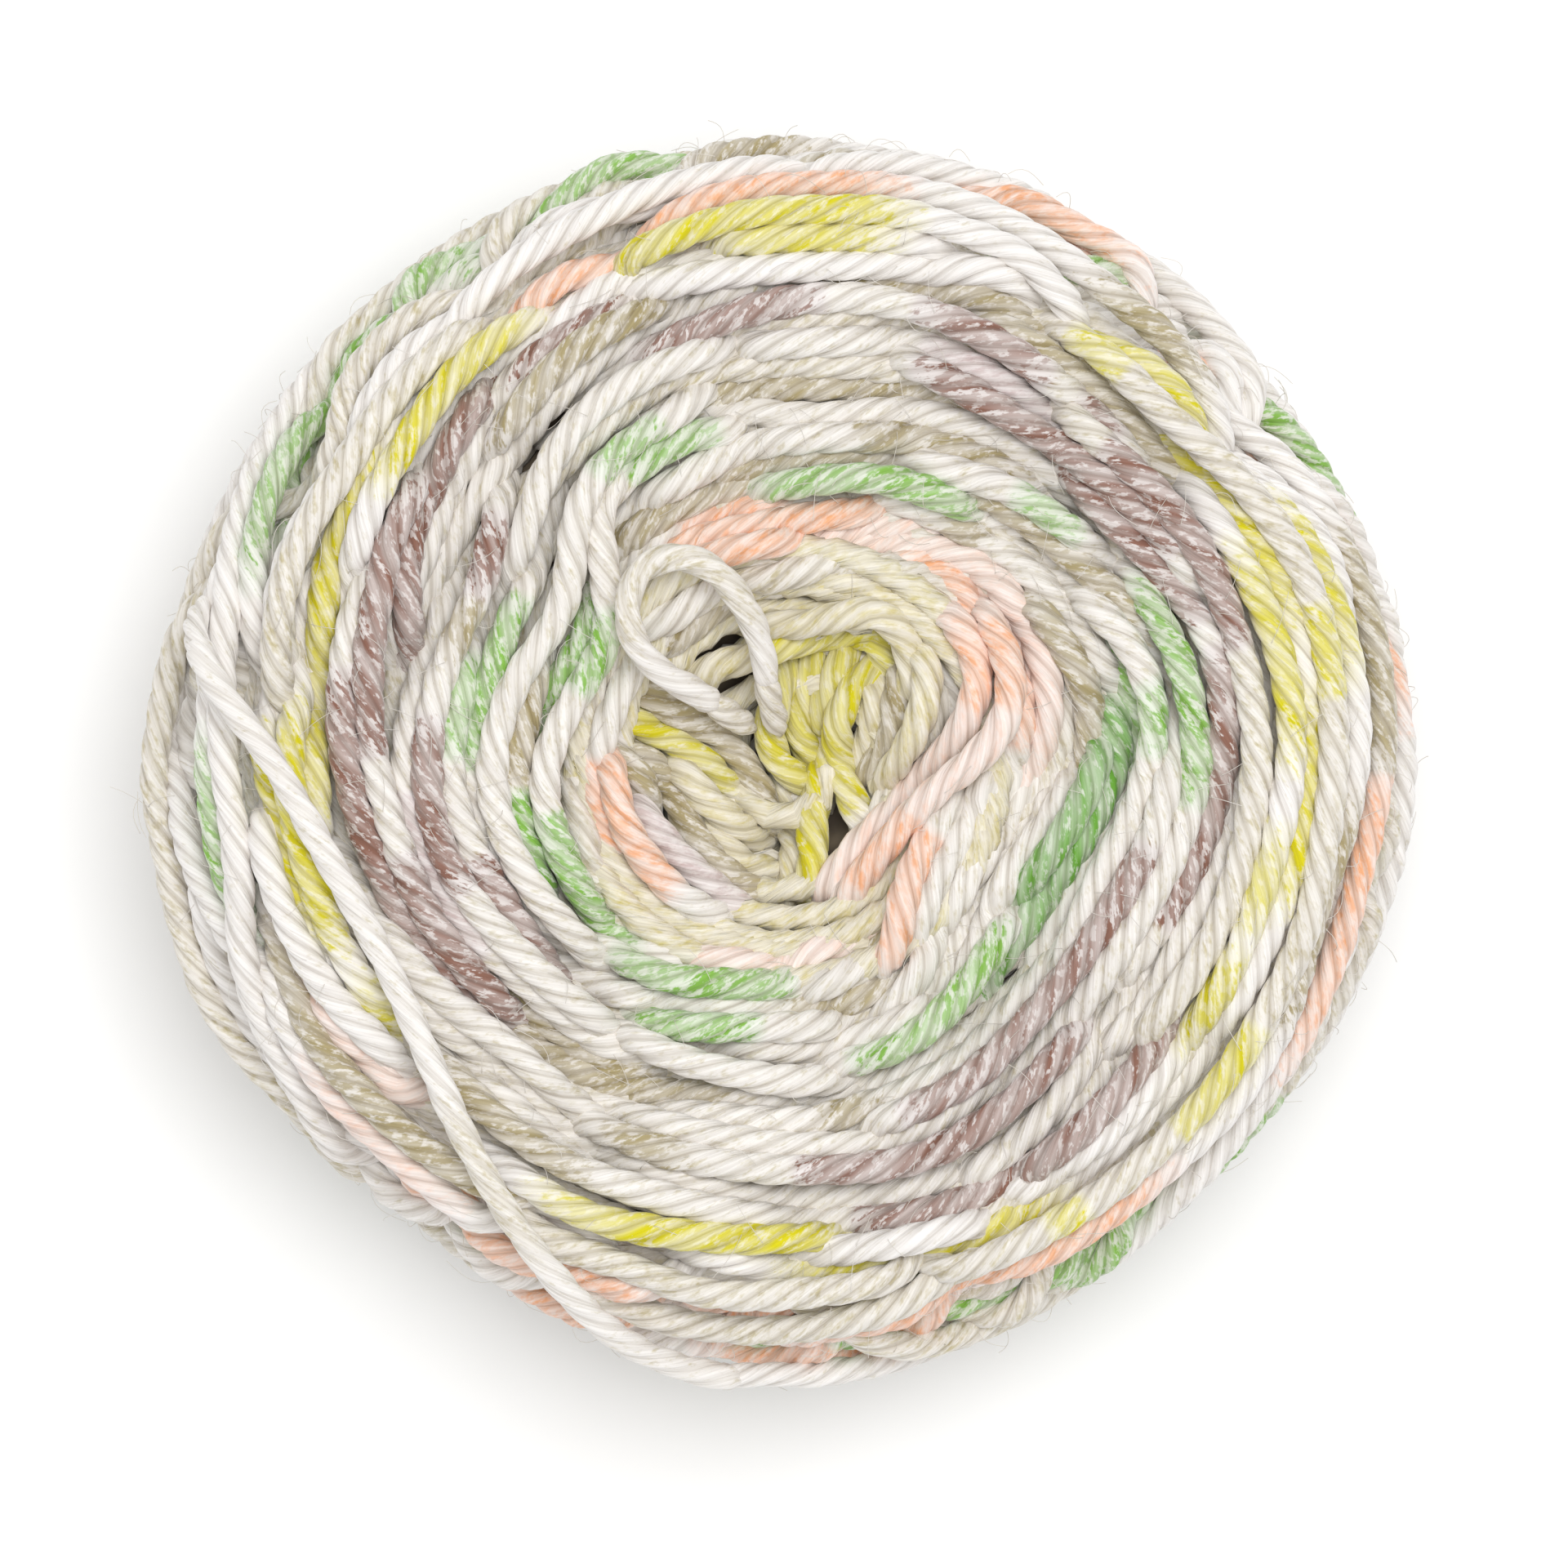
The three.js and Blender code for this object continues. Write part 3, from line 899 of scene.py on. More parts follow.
def side_wrap(start, direction, order, group):
    """A slanting wrap from the base to the rim, where it goes under the turns of the face."""
    along = np.linspace(SIDE_LOW, SIDE_TOP, WRAP_POINTS)
    climb = (along - SIDE_LOW) / math.tan(WRAP_LEAN)
    swing = np.linspace(0, math.pi, WRAP_POINTS) * chance.uniform(*WANDER_TURNS)
    wander = WRAP_WANDER * np.sin(swing + chance.uniform(*WANDER_START))
    angle = start + direction * np.degrees((climb + wander) / WAIST)
    strand = make_strand(group, angle, along, side_runs(start + HALF_WRAP * direction), order)
    under_rim = smoothstep(strand["middle"][:, 2], *UNDER_RIM)
    strand["order"] = strand["order"] - SINK_ORDER * under_rim
    strand["middle"] = strand["middle"] - strand["out"] * (UNDER_RIM_DEPTH * under_rim)[:, None]
    return strand


wrap_count = round(2 * math.pi * WAIST * math.sin(WRAP_LEAN) / WRAP_PITCH)
for k in range(wrap_count):
    start = 360 * k / wrap_count + chance.uniform(-START_SHAKE, START_SHAKE)
    group = "side_a" if k < wrap_count / 2 else "side_b"
    wrap_order = NEXT_WRAP_ORDER * (k % 2) + chance.uniform(0, ORDER_SHAKE)
    strands.append(side_wrap(start, 1, wrap_order, group))
for k in range(CROSSING_WRAPS):
    start = 360 * k / CROSSING_WRAPS + chance.uniform(-CROSSING_SHAKE, CROSSING_SHAKE)
    strands.append(side_wrap(start, -1, CROSSING_ORDER, "side_b"))
print(wrap_count, "wraps one way and", CROSSING_WRAPS, "across them")

# %% Turns of the base
BASE_PITCH = 2.5
ARC_POINTS = 60
ARC_OVERLAP = 34
ARC_DRIFT = 0.8
ARC_WANDER = 0.35
SMALLEST_HALVED = 8
BED_MARGIN = 0.6
BASE_TURNS = (3.0, SIDE_LOW + 2.0)


def turn_arcs(along_low, along_high, pitch, group, order, depth=0.0, dye="haze"):
    """Plain turns between two places on the bed, each cut into arcs that overlap."""
    made = []
    for place in np.arange(along_low, along_high, pitch):
        offset = chance.uniform(0, 360)
        arcs = 2 if np.interp(place, bed_along, bed[:, 0]) > SMALLEST_HALVED else 1
        for k in range(arcs):
            angle = np.linspace(0, 360 / arcs + ARC_OVERLAP, ARC_POINTS) + offset + 360 * k / arcs
            drift = smoothstep(np.linspace(0, 1, ARC_POINTS), 0, 1) - 0.5
            wander = ARC_WANDER * np.sin(np.radians(angle * 2 + offset))
            along = np.clip(place + pitch * ARC_DRIFT * drift + wander, BED_MARGIN, BED_END - BED_MARGIN)
            runs = side_runs(angle[ARC_POINTS // 2]) if group == "base" else [(dye, *ALL_ROUND)]
            strand = make_strand(group, angle, along, runs, order())
            strand["middle"] = strand["middle"] - strand["out"] * depth
            made.append(strand)
    return made


strands += turn_arcs(*BASE_TURNS, BASE_PITCH, "base", lambda: chance.uniform(0, 1))
print(len(strands), "strands that show")

# %% [markdown]
# Real strands press on each other. Where two cross, the one above rises a little and the one below
# is pushed in, and where two run side by side they also move apart. This loop does that: it finds
# the points that lie too near to a neighbour, moves them in the order of the strands, and smooths
# each strand, as the stiffness of a yarn does. Cotton gives, so strands may press a little flat.

# %% Points of all the strands
CORD_ORDER = 9.0
cord_places = [evenly(route, YARN_STEP) for route in (outer_end_route, centre_loop_route)]
pressing = strands + [free_strand("cord", place, UP, CORD_ORDER) for place in cord_places]

middle = np.vstack([s["middle"] for s in pressing])
out = np.vstack([s["out"] for s in pressing])
held = np.concatenate([s.get("held", np.zeros(len(s["middle"]))) for s in pressing])
sideways = np.vstack([frames_along(s["middle"], s["out"])[2] for s in pressing])
order = np.concatenate([s["order"] for s in pressing])
owner = np.concatenate([np.full(len(s["middle"]), k) for k, s in enumerate(pressing)])
same_owner = owner[1:] == owner[:-1]
inner_point = np.concatenate([[False], same_owner]) & np.concatenate([same_owner, [False]])
print(len(middle), "points on", len(pressing), "strands, the two free stretches among them")

# %% Pairs of points that lie near each other
PRESSED_YARN = 2.15
SEARCH_MARGIN = 0.8

tree = kdtree.KDTree(len(middle))
for k, point in enumerate(middle):
    tree.insert(point, k)
tree.balance()
pairs = []
for k, point in enumerate(middle):
    for _, other, _ in tree.find_range(point, PRESSED_YARN + SEARCH_MARGIN):
        if other > k and owner[other] != owner[k]:
            pairs.append((k, other))
first, second = np.array(pairs).T
swapped = order[first] < order[second]
upper = np.where(swapped, second, first)
lower = np.where(swapped, first, second)
shared_out = out[upper] + out[lower]
shared_out /= np.linalg.norm(shared_out, axis=1)[:, None]
touches = np.bincount(upper, minlength=len(middle)) + np.bincount(lower, minlength=len(middle))
print(len(pairs), "pairs near each other")

# %% Let the strands settle over and under each other
SETTLE_ROUNDS = 110
UPPER_GIVE = 0.38
HIGHEST_LIFT = 1.5
SIDE_LIFT = 0.5
LOWEST_LIFT = -4.2
MOST_SWAY = 0.9
SWAY_GIVE = 0.4
RECOIL = 0.99
FACES_UP = 0.7
FACES_DOWN = -0.5
LIFT_GIVE = 0.5
LEAST_BESIDE = 0.3
STILL_NEAR = 0.5

highest = np.where(out[:, 2] > FACES_UP, HIGHEST_LIFT, SIDE_LIFT)
highest[out[:, 2] < FACES_DOWN] = 0.0
lift = np.zeros(len(middle))
sway = np.zeros(len(middle))


def relaxed(values, lowest, most):
    """Each value drawn towards its neighbours on the same strand, within limits."""
    mixed = 0.25 * np.roll(values, 1) + 0.5 * values + 0.25 * np.roll(values, -1)
    return np.clip(np.where(inner_point, mixed, values) * RECOIL, lowest, most) * (1 - held)


for _ in range(SETTLE_ROUNDS):
    place = middle + out * lift[:, None] + sideways * sway[:, None]
    apart = place[upper] - place[lower]
    rise = np.einsum("ij,ij->i", apart, shared_out)
    level = apart - rise[:, None] * shared_out
    beside = np.linalg.norm(level, axis=1)

    # Upwards and downwards: only the strongest push on a point counts.
    push = np.maximum(np.sqrt(np.maximum(PRESSED_YARN**2 - beside**2, 0.0)) - rise, 0.0)
    up = np.zeros(len(lift))
    down = np.zeros(len(lift))
    np.maximum.at(up, upper, push)
    np.maximum.at(down, lower, push)
    lift += LIFT_GIVE * (UPPER_GIVE * up - (1 - UPPER_GIVE) * down)

    # Sideways: all the pushes on a point are averaged.
    room = np.sqrt(PRESSED_YARN**2 - np.clip(rise, 0, PRESSED_YARN) ** 2) - beside
    nudge = (np.maximum(room, 0.0) / np.maximum(beside, LEAST_BESIDE))[:, None] * level
    upper_part = np.einsum("ij,ij->i", nudge, sideways[upper])
    lower_part = np.einsum("ij,ij->i", nudge, sideways[lower])
    drift = np.bincount(upper, upper_part, len(middle)) - np.bincount(lower, lower_part, len(middle))
    sway += SWAY_GIVE * drift / np.maximum(touches, 1)
    lift = relaxed(lift, LOWEST_LIFT, highest)
    sway = relaxed(sway, -MOST_SWAY, MOST_SWAY)

middle = middle + out * lift[:, None] + sideways * sway[:, None]
middle[:, 2] = np.maximum(middle[:, 2], YARN / 2)
for k, strand in enumerate(strands):
    strand["middle"] = middle[owner == k]
strands += loop_tails
print(f"lift from {lift.min():.1f} to {lift.max():.1f} mm, mean {lift.mean():.2f}")
print(f"still too near: {np.mean(push > STILL_NEAR):.2f} of the pairs")

# %% [markdown]
# Under the strands that show lies another layer, seen only as shadowed yarn in the gaps. It is
# laid in plain turns and wraps below the first, and needs fewer points.

# %% The layer beneath
UNDER_DEPTH = 4.4
UNDER_PITCH = 2.7
HOLLOW_PITCH = 2.3
HOLLOW_UNDER = 2.7
HOLLOW_RADIUS = 16.0
UNDER_FACE = (SIDE_TOP - 6, BED_END - 1.0)
UNDER_BASE = (4.0, SIDE_LOW + 3.0)
UNDER_HOLLOW = (float(upper_place(HOLLOW_RADIUS)), BED_END - 1.5)

beneath = turn_arcs(*UNDER_FACE, UNDER_PITCH, "beneath", lambda: 0.0, UNDER_DEPTH)
beneath += turn_arcs(*UNDER_BASE, UNDER_PITCH, "beneath", lambda: 0.0, UNDER_DEPTH)
for k in range(wrap_count):
    strand = side_wrap(360 * k / wrap_count, -1, 0.0, "beneath")
    strand["middle"] = strand["middle"] - strand["out"] * UNDER_DEPTH
    beneath.append(strand)
beneath += turn_arcs(*UNDER_HOLLOW, HOLLOW_PITCH, "beneath", lambda: 0.0, HOLLOW_UNDER, "straw")
print(len(beneath), "strands beneath")

# %% [markdown]
# Now the routes become yarn. The section of four plies is a ring with four soft lobes, and the
# ring turns as it moves along, one full turn in 11 mm, so that the lobes wind round each other
# with an S twist. Each point also carries where it lies in the yarn: the material reads that to
# draw fibres and flecks that follow the plies. The unwrapped yarn is laid in rows on one map, so
# that the colours can be baked for other programs.

# %% Section of the plied yarn
PLIES = 4
PLY_TURN = 11.0
LOOSE_PLY_TURN = 13.5
PLY_OFFSET = 0.43
PLY_RADIUS = 0.57
SIDES = 16
CORD_SIDES = 20
BENEATH_SIDES = 12


def ply_section(sides):
    """Angle, radius as a share of the yarn's, and depth in the groove, round the section."""
    turn = np.arange(sides) * 2 * math.pi / sides
    from_ply = np.mod(turn + math.pi / PLIES, 2 * math.pi / PLIES) - math.pi / PLIES
    reach = np.sqrt(PLY_RADIUS**2 - np.square(PLY_OFFSET * np.sin(from_ply)))
    radius = PLY_OFFSET * np.cos(from_ply) + reach
    groove = np.square(from_ply / (math.pi / PLIES))
    return turn, radius, groove


print("section radii", np.round(ply_section(SIDES)[1][:4], 2).tolist())

# %% Meshes from arrays


def new_mesh(name, points, quads, triangles):
    """A mesh object from arrays, in metres, with smooth shading."""
    mesh = bpy.data.meshes.new(name)
    corners = np.concatenate([quads.ravel(), triangles.ravel()]).astype(np.int32)
    starts = np.concatenate([
        np.arange(len(quads)) * 4, len(quads) * 4 + np.arange(len(triangles)) * 3
    ]).astype(np.int32)
    mesh.vertices.add(len(points))
    mesh.vertices.foreach_set("co", (points * MM).astype(np.float32).ravel())
    mesh.loops.add(len(corners))
    mesh.loops.foreach_set("vertex_index", corners)
    mesh.polygons.add(len(starts))
    mesh.polygons.foreach_set("loop_start", starts)
    mesh.update(calc_edges=True)
    mesh.validate()
    mesh.shade_smooth()
    made = bpy.data.objects.new(name, mesh)
    bpy.context.scene.collection.objects.link(made)
    return made


def add_values(made, name, kind, field, values):
    """Writes one value for each point of the mesh, for the material to read."""
    layer = made.data.attributes.new(name, kind, "POINT")
    layer.data.foreach_set(field, np.ascontiguousarray(values, np.float32).ravel())


def ring_quads(at):
    """Quads between rings of points. Each row of the grid holds the numbers of one ring."""
    beside = np.roll(at, -1, axis=1)
    return np.stack([at[:-1], beside[:-1], beside[1:], at[1:]], axis=-1).reshape(-1, 4)


def end_caps(at, start_tip):
    """Triangles that close the first and the last ring, round two tips numbered from the given."""
    beside = np.roll(at, -1, axis=1)
    tip = np.full(at.shape[1], start_tip)
    return np.vstack([
        np.column_stack([beside[0], at[0], tip]), np.column_stack([at[-1], beside[-1], tip + 1])
    ])


print("two rings of four points give", len(ring_quads(np.arange(8).reshape(2, 4))), "quads")

# %% Rings of one strand
PRESSED = 0.94
TIP_RINGS = (-1.2, 3)
SLUB = (0.035, 0.025)
SLUB_MM = (3.1, 1.3)
SEED_RANGE = 50
SEED_SPREAD = 20


def yarn_rings(strand, sides, thickness, pressed, ply_turn):
    """Points of the rings of one strand, and the values that go with them."""
    middle = strand["middle"]
    _, outward, sideways = frames_along(middle, strand["out"])
    turn, share, groove = ply_section(sides)
    along = length_along(middle)
    seed = chance.uniform(0, SEED_RANGE, 3)
    twist = turn[None] - 2 * math.pi * (along / ply_turn)[:, None] + seed[0]
    slub = (
        1 + SLUB[0] * np.sin(along / SLUB_MM[0] + seed[1])
        + SLUB[1] * np.sin(along / SLUB_MM[1] + seed[2])
    )
    from_tip = np.minimum(np.arange(len(along)), np.arange(len(along))[::-1])
    tip = smoothstep(from_tip, *TIP_RINGS)
    girth = strand.get("girth", 1.0)
    radius = thickness / 2 * share[None] * (slub * tip * girth)[:, None]
    points = (
        middle[:, None]
        + outward[:, None] * (radius * np.cos(twist) * pressed)[..., None]
        + sideways[:, None] * (radius * np.sin(twist))[..., None]
    )
    fibre = np.empty((len(along), sides, 3))
    fibre[..., 0] = seed[0] * SEED_SPREAD + YARN / 2 * np.cos(turn)
    fibre[..., 1] = seed[1] * SEED_SPREAD + YARN / 2 * np.sin(turn)
    fibre[..., 2] = seed[2] * SEED_SPREAD + along[:, None]
    return points, fibre, np.tile(groove, (len(along), 1)), along


print(f"a strand thickens and thins by {sum(SLUB) * 100:.0f} in 100")

# %% The map of the unrolled yarn
MAP_NAME = "OFBake"
MAP_ROW = 10.4
ROW_SHARE = 0.94
MAP_CORNER = 0.999
MAP_MARGIN = 2


def lay_out_map(made, quad_run, sides, total, cap_count):
    """Unrolls the yarn into the rows of one square map."""
    edge = math.sqrt(total * MAP_ROW) + MAP_ROW
    row = np.floor(quad_run[:, 0] / edge)
    left = (quad_run[:, 0] - row * edge) / (edge + MAP_MARGIN)
    right = left + (quad_run[:, 1] - quad_run[:, 0]) / (edge + MAP_MARGIN)
    low = (row + quad_run[:, 2] / sides * ROW_SHARE) * MAP_ROW / (edge + MAP_ROW)
    high = (row + (quad_run[:, 2] + 1) / sides * ROW_SHARE) * MAP_ROW / (edge + MAP_ROW)
    square = np.stack([left, low, left, high, right, high, right, low], axis=-1)
    corner = np.full(cap_count * 6, MAP_CORNER)
    layer = made.data.uv_layers.new(name=MAP_NAME)
    layer.data.foreach_set("uv", np.concatenate([square.ravel(), corner]).astype(np.float32))


print("a row of the map is", MAP_ROW, "mm high, a little more than once round the yarn")

# %% One mesh of many strands


def yarn_mesh(name, group, sides=SIDES, thickness=WOUND_YARN, pressed=PRESSED, ply_turn=PLY_TURN):
    """One mesh of all the strands in the group."""
    points, fibres, grooves, colours, doses, quads, caps, quad_run = [], [], [], [], [], [], [], []
    count, run = 0, 0.0
    for strand in group:
        ring_points, fibre, groove, along = yarn_rings(strand, sides, thickness, pressed, ply_turn)
        rings = len(along)
        at = count + np.arange(rings * sides).reshape(rings, sides)
        quads.append(ring_quads(at))
        caps.append(end_caps(at, count + rings * sides))
        quad_run.append(np.column_stack([
            np.repeat(run + along[:-1], sides), np.repeat(run + along[1:], sides),
            np.tile(np.arange(sides), rings - 1),
        ]))
        ends = [0, -1]
        points.append(np.vstack([ring_points.reshape(-1, 3), strand["middle"][ends]]))
        fibres.append(np.vstack([fibre.reshape(-1, 3), fibre[ends, 0]]))
        grooves.append(np.concatenate([groove.ravel(), [1.0, 1.0]]))
        colours.append(np.vstack([np.repeat(strand["colour"], sides, axis=0), strand["colour"][ends]]))
        doses.append(np.concatenate([np.repeat(strand["dose"], sides), strand["dose"][ends]]))
        run += along[-1]
        count += rings * sides + len(ends)
    quads = np.vstack(quads)
    caps = np.vstack(caps)
    made = new_mesh(name, np.vstack(points), quads, caps)
    add_values(made, "fibre", "FLOAT_VECTOR", "vector", np.vstack(fibres))
    add_values(made, "groove", "FLOAT", "value", np.concatenate(grooves))
    add_values(made, "dye", "FLOAT_COLOR", "color", np.vstack(colours))
    add_values(made, "dose", "FLOAT", "value", np.concatenate(doses))
    lay_out_map(made, np.vstack(quad_run), sides, run, len(caps))
    print(f"{name}: {run / 1000:.2f} m of yarn, {2 * len(quads) + len(caps)} triangles")
    return made


print("each point of the yarn carries its place in the yarn, groove, dye and dose")

# %% [markdown]
# The yarn is cotton, combed and plied, then dyed by hand. Undyed cotton is a warm white with fine
# fibres that run along each ply. It is matt, with a faint sheen where fibres stand up. The dyes
# reach the eye as flecks: where a slow noise that follows the plies is below the dose, the dye
# covers the cotton, and the dye's own softness says how sharp the border of a fleck is. Fibres are
# about 0.02 mm thick. That is too fine to show, so they are drawn as bundles of 0.15 mm.

# %% Helpers for materials


def add(tree, kind, links=None, **settings):
    """Adds a node, sets its named settings and inputs, and links its inputs."""
    node = tree.nodes.new(kind)
    for key, value in settings.items():
        setattr(node, key, value)
    for key, value in (links or {}).items():
        if isinstance(value, bpy.types.NodeSocket):
            tree.links.new(value, node.inputs[key])
        else:
            node.inputs[key].default_value = value
    return node


def new_material(name):
    made = bpy.data.materials.new(name)
    made.use_nodes = True
    made.node_tree.nodes.clear()
    return made, made.node_tree


def two_tones(tree, factor, first, second):
    """A colour that wanders between two hex colours."""
    tones = {0: factor, 6: linear(first) + [1.0], 7: linear(second) + [1.0]}
    return add(tree, "ShaderNodeMix", tones, data_type="RGBA").outputs[2]


def surface(tree, inputs):
    """Ends a material in one shader with these inputs."""
    shader = add(tree, "ShaderNodeBsdfPrincipled", inputs)
    add(tree, "ShaderNodeOutputMaterial", {"Surface": shader.outputs[0]})


print("undyed cotton as linear colour:", np.round(linear("#F7F4F2"), 2).tolist())

# %% Flecks of dye
FLECK_MM = 0.6
PLY_MM = 1.3
WASH = 0.42


def dye_amount(tree, place, dye, dose, groove):
    """How much of the dye a point of the yarn has taken up."""
    # Flecks are a little longer along the ply than across it.
    fleck_place = add(tree, "ShaderNodeVectorMath", {0: place, 1: (1.0, 1.0, 0.7)}, operation="MULTIPLY")
    fleck = add(tree, "ShaderNodeTexNoise", {
        "Vector": fleck_place.outputs[0], "Scale": 1 / FLECK_MM, "Detail": 3.0, "Roughness": 0.6,
    })
    edge = add(tree, "ShaderNodeMapRange", {
        "Value": dose, "From Min": 0.0, "From Max": 1.0, "To Min": 0.76, "To Max": 0.27,
    })
    over = add(tree, "ShaderNodeMath", {0: fleck.outputs["Fac"], 1: edge.outputs[0]}, operation="SUBTRACT")
    sharp = add(tree, "ShaderNodeMath", {0: over.outputs[0], 1: dye.outputs["Alpha"]}, operation="DIVIDE")
    cover = add(tree, "ShaderNodeMath", {0: sharp.outputs[0], 1: 0.5}, operation="ADD", use_clamp=True)

    # One ply takes more dye than the next, over a few millimetres of its length.
    ply_place = add(tree, "ShaderNodeVectorMath", {0: place, 1: (1.0, 1.0, 0.2)}, operation="MULTIPLY")
    uptake = add(tree, "ShaderNodeTexNoise", {
        "Vector": ply_place.outputs[0], "Scale": 1 / PLY_MM, "Detail": 1.5,
    })
    strength = add(tree, "ShaderNodeMapRange", {
        "Value": uptake.outputs["Fac"], "From Min": 0.35, "From Max": 0.65, "To Min": 0.55, "To Max": 1.0,
    })
    fleck_tint = add(tree, "ShaderNodeMath", {0: cover.outputs[0], 1: strength.outputs[0]},
                     operation="MULTIPLY")

    # A thin wash of the dye tints the cotton between the flecks too, more so in the grooves.
    pooled = add(tree, "ShaderNodeMath", {0: groove, 1: 0.5, 2: WASH}, operation="MULTIPLY_ADD")
    wash = add(tree, "ShaderNodeMath", {0: dose, 1: pooled.outputs[0]}, operation="MULTIPLY")
    return add(tree, "ShaderNodeMath", {0: fleck_tint.outputs[0], 1: wash.outputs[0]}, operation="MAXIMUM")


print("flecks of about", FLECK_MM, "mm, in plies that differ every", PLY_MM, "mm")

# %% Painted shade in the grooves and between fibres
# Colour of the painted shade in the grooves and between fibres.
PAINTED_GROOVE_SHADE = linear("#A3978A") + [1.0]
GROOVE_WEIGHT = 0.34
FIBRE_MM = 0.15


def with_painted_shade(tree, colour, fibre, groove):
    """Painted shade: darkens the colour along the deepest line of each groove and between fibre bundles,
    where shade falls.
    """
    narrow = add(tree, "ShaderNodeMath", {0: groove, 1: 2.0}, operation="POWER")
    shade = add(tree, "ShaderNodeMapRange", {
        "Value": fibre, "From Min": 0.35, "From Max": 0.65, "To Min": 0.24, "To Max": -0.05,
    })
    depth = add(tree, "ShaderNodeMath", {0: narrow.outputs[0], 1: GROOVE_WEIGHT, 2: shade.outputs[0]},
                operation="MULTIPLY_ADD", use_clamp=True)
    shaded = add(tree, "ShaderNodeMix", {0: depth.outputs[0], 6: colour, 7: PAINTED_GROOVE_SHADE},
                 data_type="RGBA", blend_type="MULTIPLY")
    return shaded.outputs[2]


print("bundles of fibres", FIBRE_MM, "mm wide")

# %% Hand-dyed plied cotton
UNDYED = linear("#F7F4F2") + [1.0]


def dyed_cotton():
    """Plied cotton: soft and matt, with flecks of dye that follow the plies."""
    made, tree = new_material("plied_cotton")
    place = add(tree, "ShaderNodeAttribute", attribute_name="fibre").outputs["Vector"]
    dye = add(tree, "ShaderNodeAttribute", attribute_name="dye")
    dose = add(tree, "ShaderNodeAttribute", attribute_name="dose").outputs["Fac"]
    groove = add(tree, "ShaderNodeAttribute", attribute_name="groove").outputs["Fac"]
    amount = dye_amount(tree, place, dye, dose, groove)
    coloured = add(tree, "ShaderNodeMix", {0: amount.outputs[0], 6: UNDYED, 7: dye.outputs["Color"]},
                   data_type="RGBA")

    # Fine fibres run along each ply.
    fibre_place = add(tree, "ShaderNodeVectorMath", {0: place, 1: (1.0, 1.0, 0.06)}, operation="MULTIPLY")
    fibre = add(tree, "ShaderNodeTexNoise", {
        "Vector": fibre_place.outputs[0], "Scale": 0.5 / FIBRE_MM, "Detail": 2.0, "Roughness": 0.6,
    }).outputs["Fac"]
    bump = add(tree, "ShaderNodeBump", {"Height": fibre, "Strength": 0.7, "Distance": 0.16 * MM})
    rough = add(tree, "ShaderNodeMapRange", {
        "Value": fibre, "From Min": 0.3, "From Max": 0.7, "To Min": 0.72, "To Max": 0.92,
    })
    # The base colour carries painted shade in the grooves and between fibre bundles.
    surface(tree, {
        "Base Color": with_painted_shade(tree, coloured.outputs[2], fibre, groove),
        "Roughness": rough.outputs[0], "Normal": bump.outputs[0],
        "Sheen Weight": 0.18, "Sheen Roughness": 0.45, "Specular IOR Level": 0.28, "IOR": 1.53,
    })
    return made


cotton = dyed_cotton()
print("plied cotton with", len(cotton.node_tree.nodes), "nodes")

# %% [markdown]
# The strands go into a few meshes by where they lie, so that no piece is too heavy. All of them
# are the same yarn, so they share one material, and all of them ride on the one body of the cake.

# %% Lay the yarn into meshes
KEPT = slice(None, None, 3)
PIECES = {
    "outer": "outer_face_turns", "middle": "middle_face_turns", "inner": "inner_face_turns",
    "side_a": "side_wraps_a", "side_b": "side_wraps_b", "base": "base_turns",
}


def finish_piece(made, material):
    """Gives a piece its material and its body."""
    made.data.materials.append(material)
    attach(made, "root")


for group, name in PIECES.items():
    finish_piece(yarn_mesh(name, [s for s in strands if s["group"] == group]), cotton)
coarse = [{key: s[key][KEPT] for key in ("middle", "out", "colour", "dose")} for s in beneath]
finish_piece(yarn_mesh("turns_beneath", coarse, sides=BENEATH_SIDES), cotton)
print(len(PIECES) + 1, "pieces of wound yarn")

# %% [markdown]
# The loose outer end and the loop at the centre are free yarn, so each is a piece of its own. They are a
# little thinner than the pressed turns and quite round.

# %% The loose outer end and the centre loop

def loose_piece(name, route, runs, node):
    """A free stretch of yarn as a cord. Its dye runs go from 0 at its start to 100 at its end."""
    colour, dose = dye_along(np.linspace(0, 100, len(route)), runs)
    strand = {"middle": route, "out": np.tile(UP, (len(route), 1)), "colour": colour, "dose": dose}
    made = yarn_mesh(name, [strand], CORD_SIDES, LOOSE_YARN, 1.0, LOOSE_PLY_TURN)
    finish_piece(made, cotton)
    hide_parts(node)


loose_piece("loose_outer_end", outer_end_route, [("haze", 30.0, 45.0)], "outer_end")
loose_piece("loop_at_centre", centre_loop_route, [("haze", 20.0, 70.0)], "centre_loop")
print("two cords,", LOOSE_YARN, "mm thick")

# %% [markdown]
# Inside everything lies a core in place of the imported body of the cake, which is hidden. It only has to
# stop light from passing through the gaps. It is matt packed cotton with the turns drawn as fine ridges,
# coloured dark brown as painted shadow, so that the gaps between strands look deep.

# %% The core in place of the imported body
CORE_DEPTH = 8.6
CORE_COLUMNS = 96
CORE_RINGS = 70
CORE_MARGIN = 2.0


def painted_shadow_cotton():
    """Dull packed cotton coloured dark brown as painted shadow, so that the gaps between strands look deep.
    """
    made, tree = new_material("painted_shadow_cotton")
    place = add(tree, "ShaderNodeTexCoord").outputs["Object"]
    ridges = add(tree, "ShaderNodeTexWave", {"Vector": place, "Scale": 0.3 / (YARN * MM), "Distortion": 1.5},
                 wave_type="RINGS", rings_direction="Z")
    bump = add(tree, "ShaderNodeBump", {"Height": ridges.outputs["Fac"], "Distance": 0.6 * MM})
    # The dark brown ridge tones are painted shadow.
    surface(tree, {
        "Base Color": two_tones(tree, ridges.outputs["Fac"], "#5F5347", "#8A7C68"),
        "Roughness": 0.9, "Normal": bump.outputs[0], "Sheen Weight": 0.15,
    })
    return made


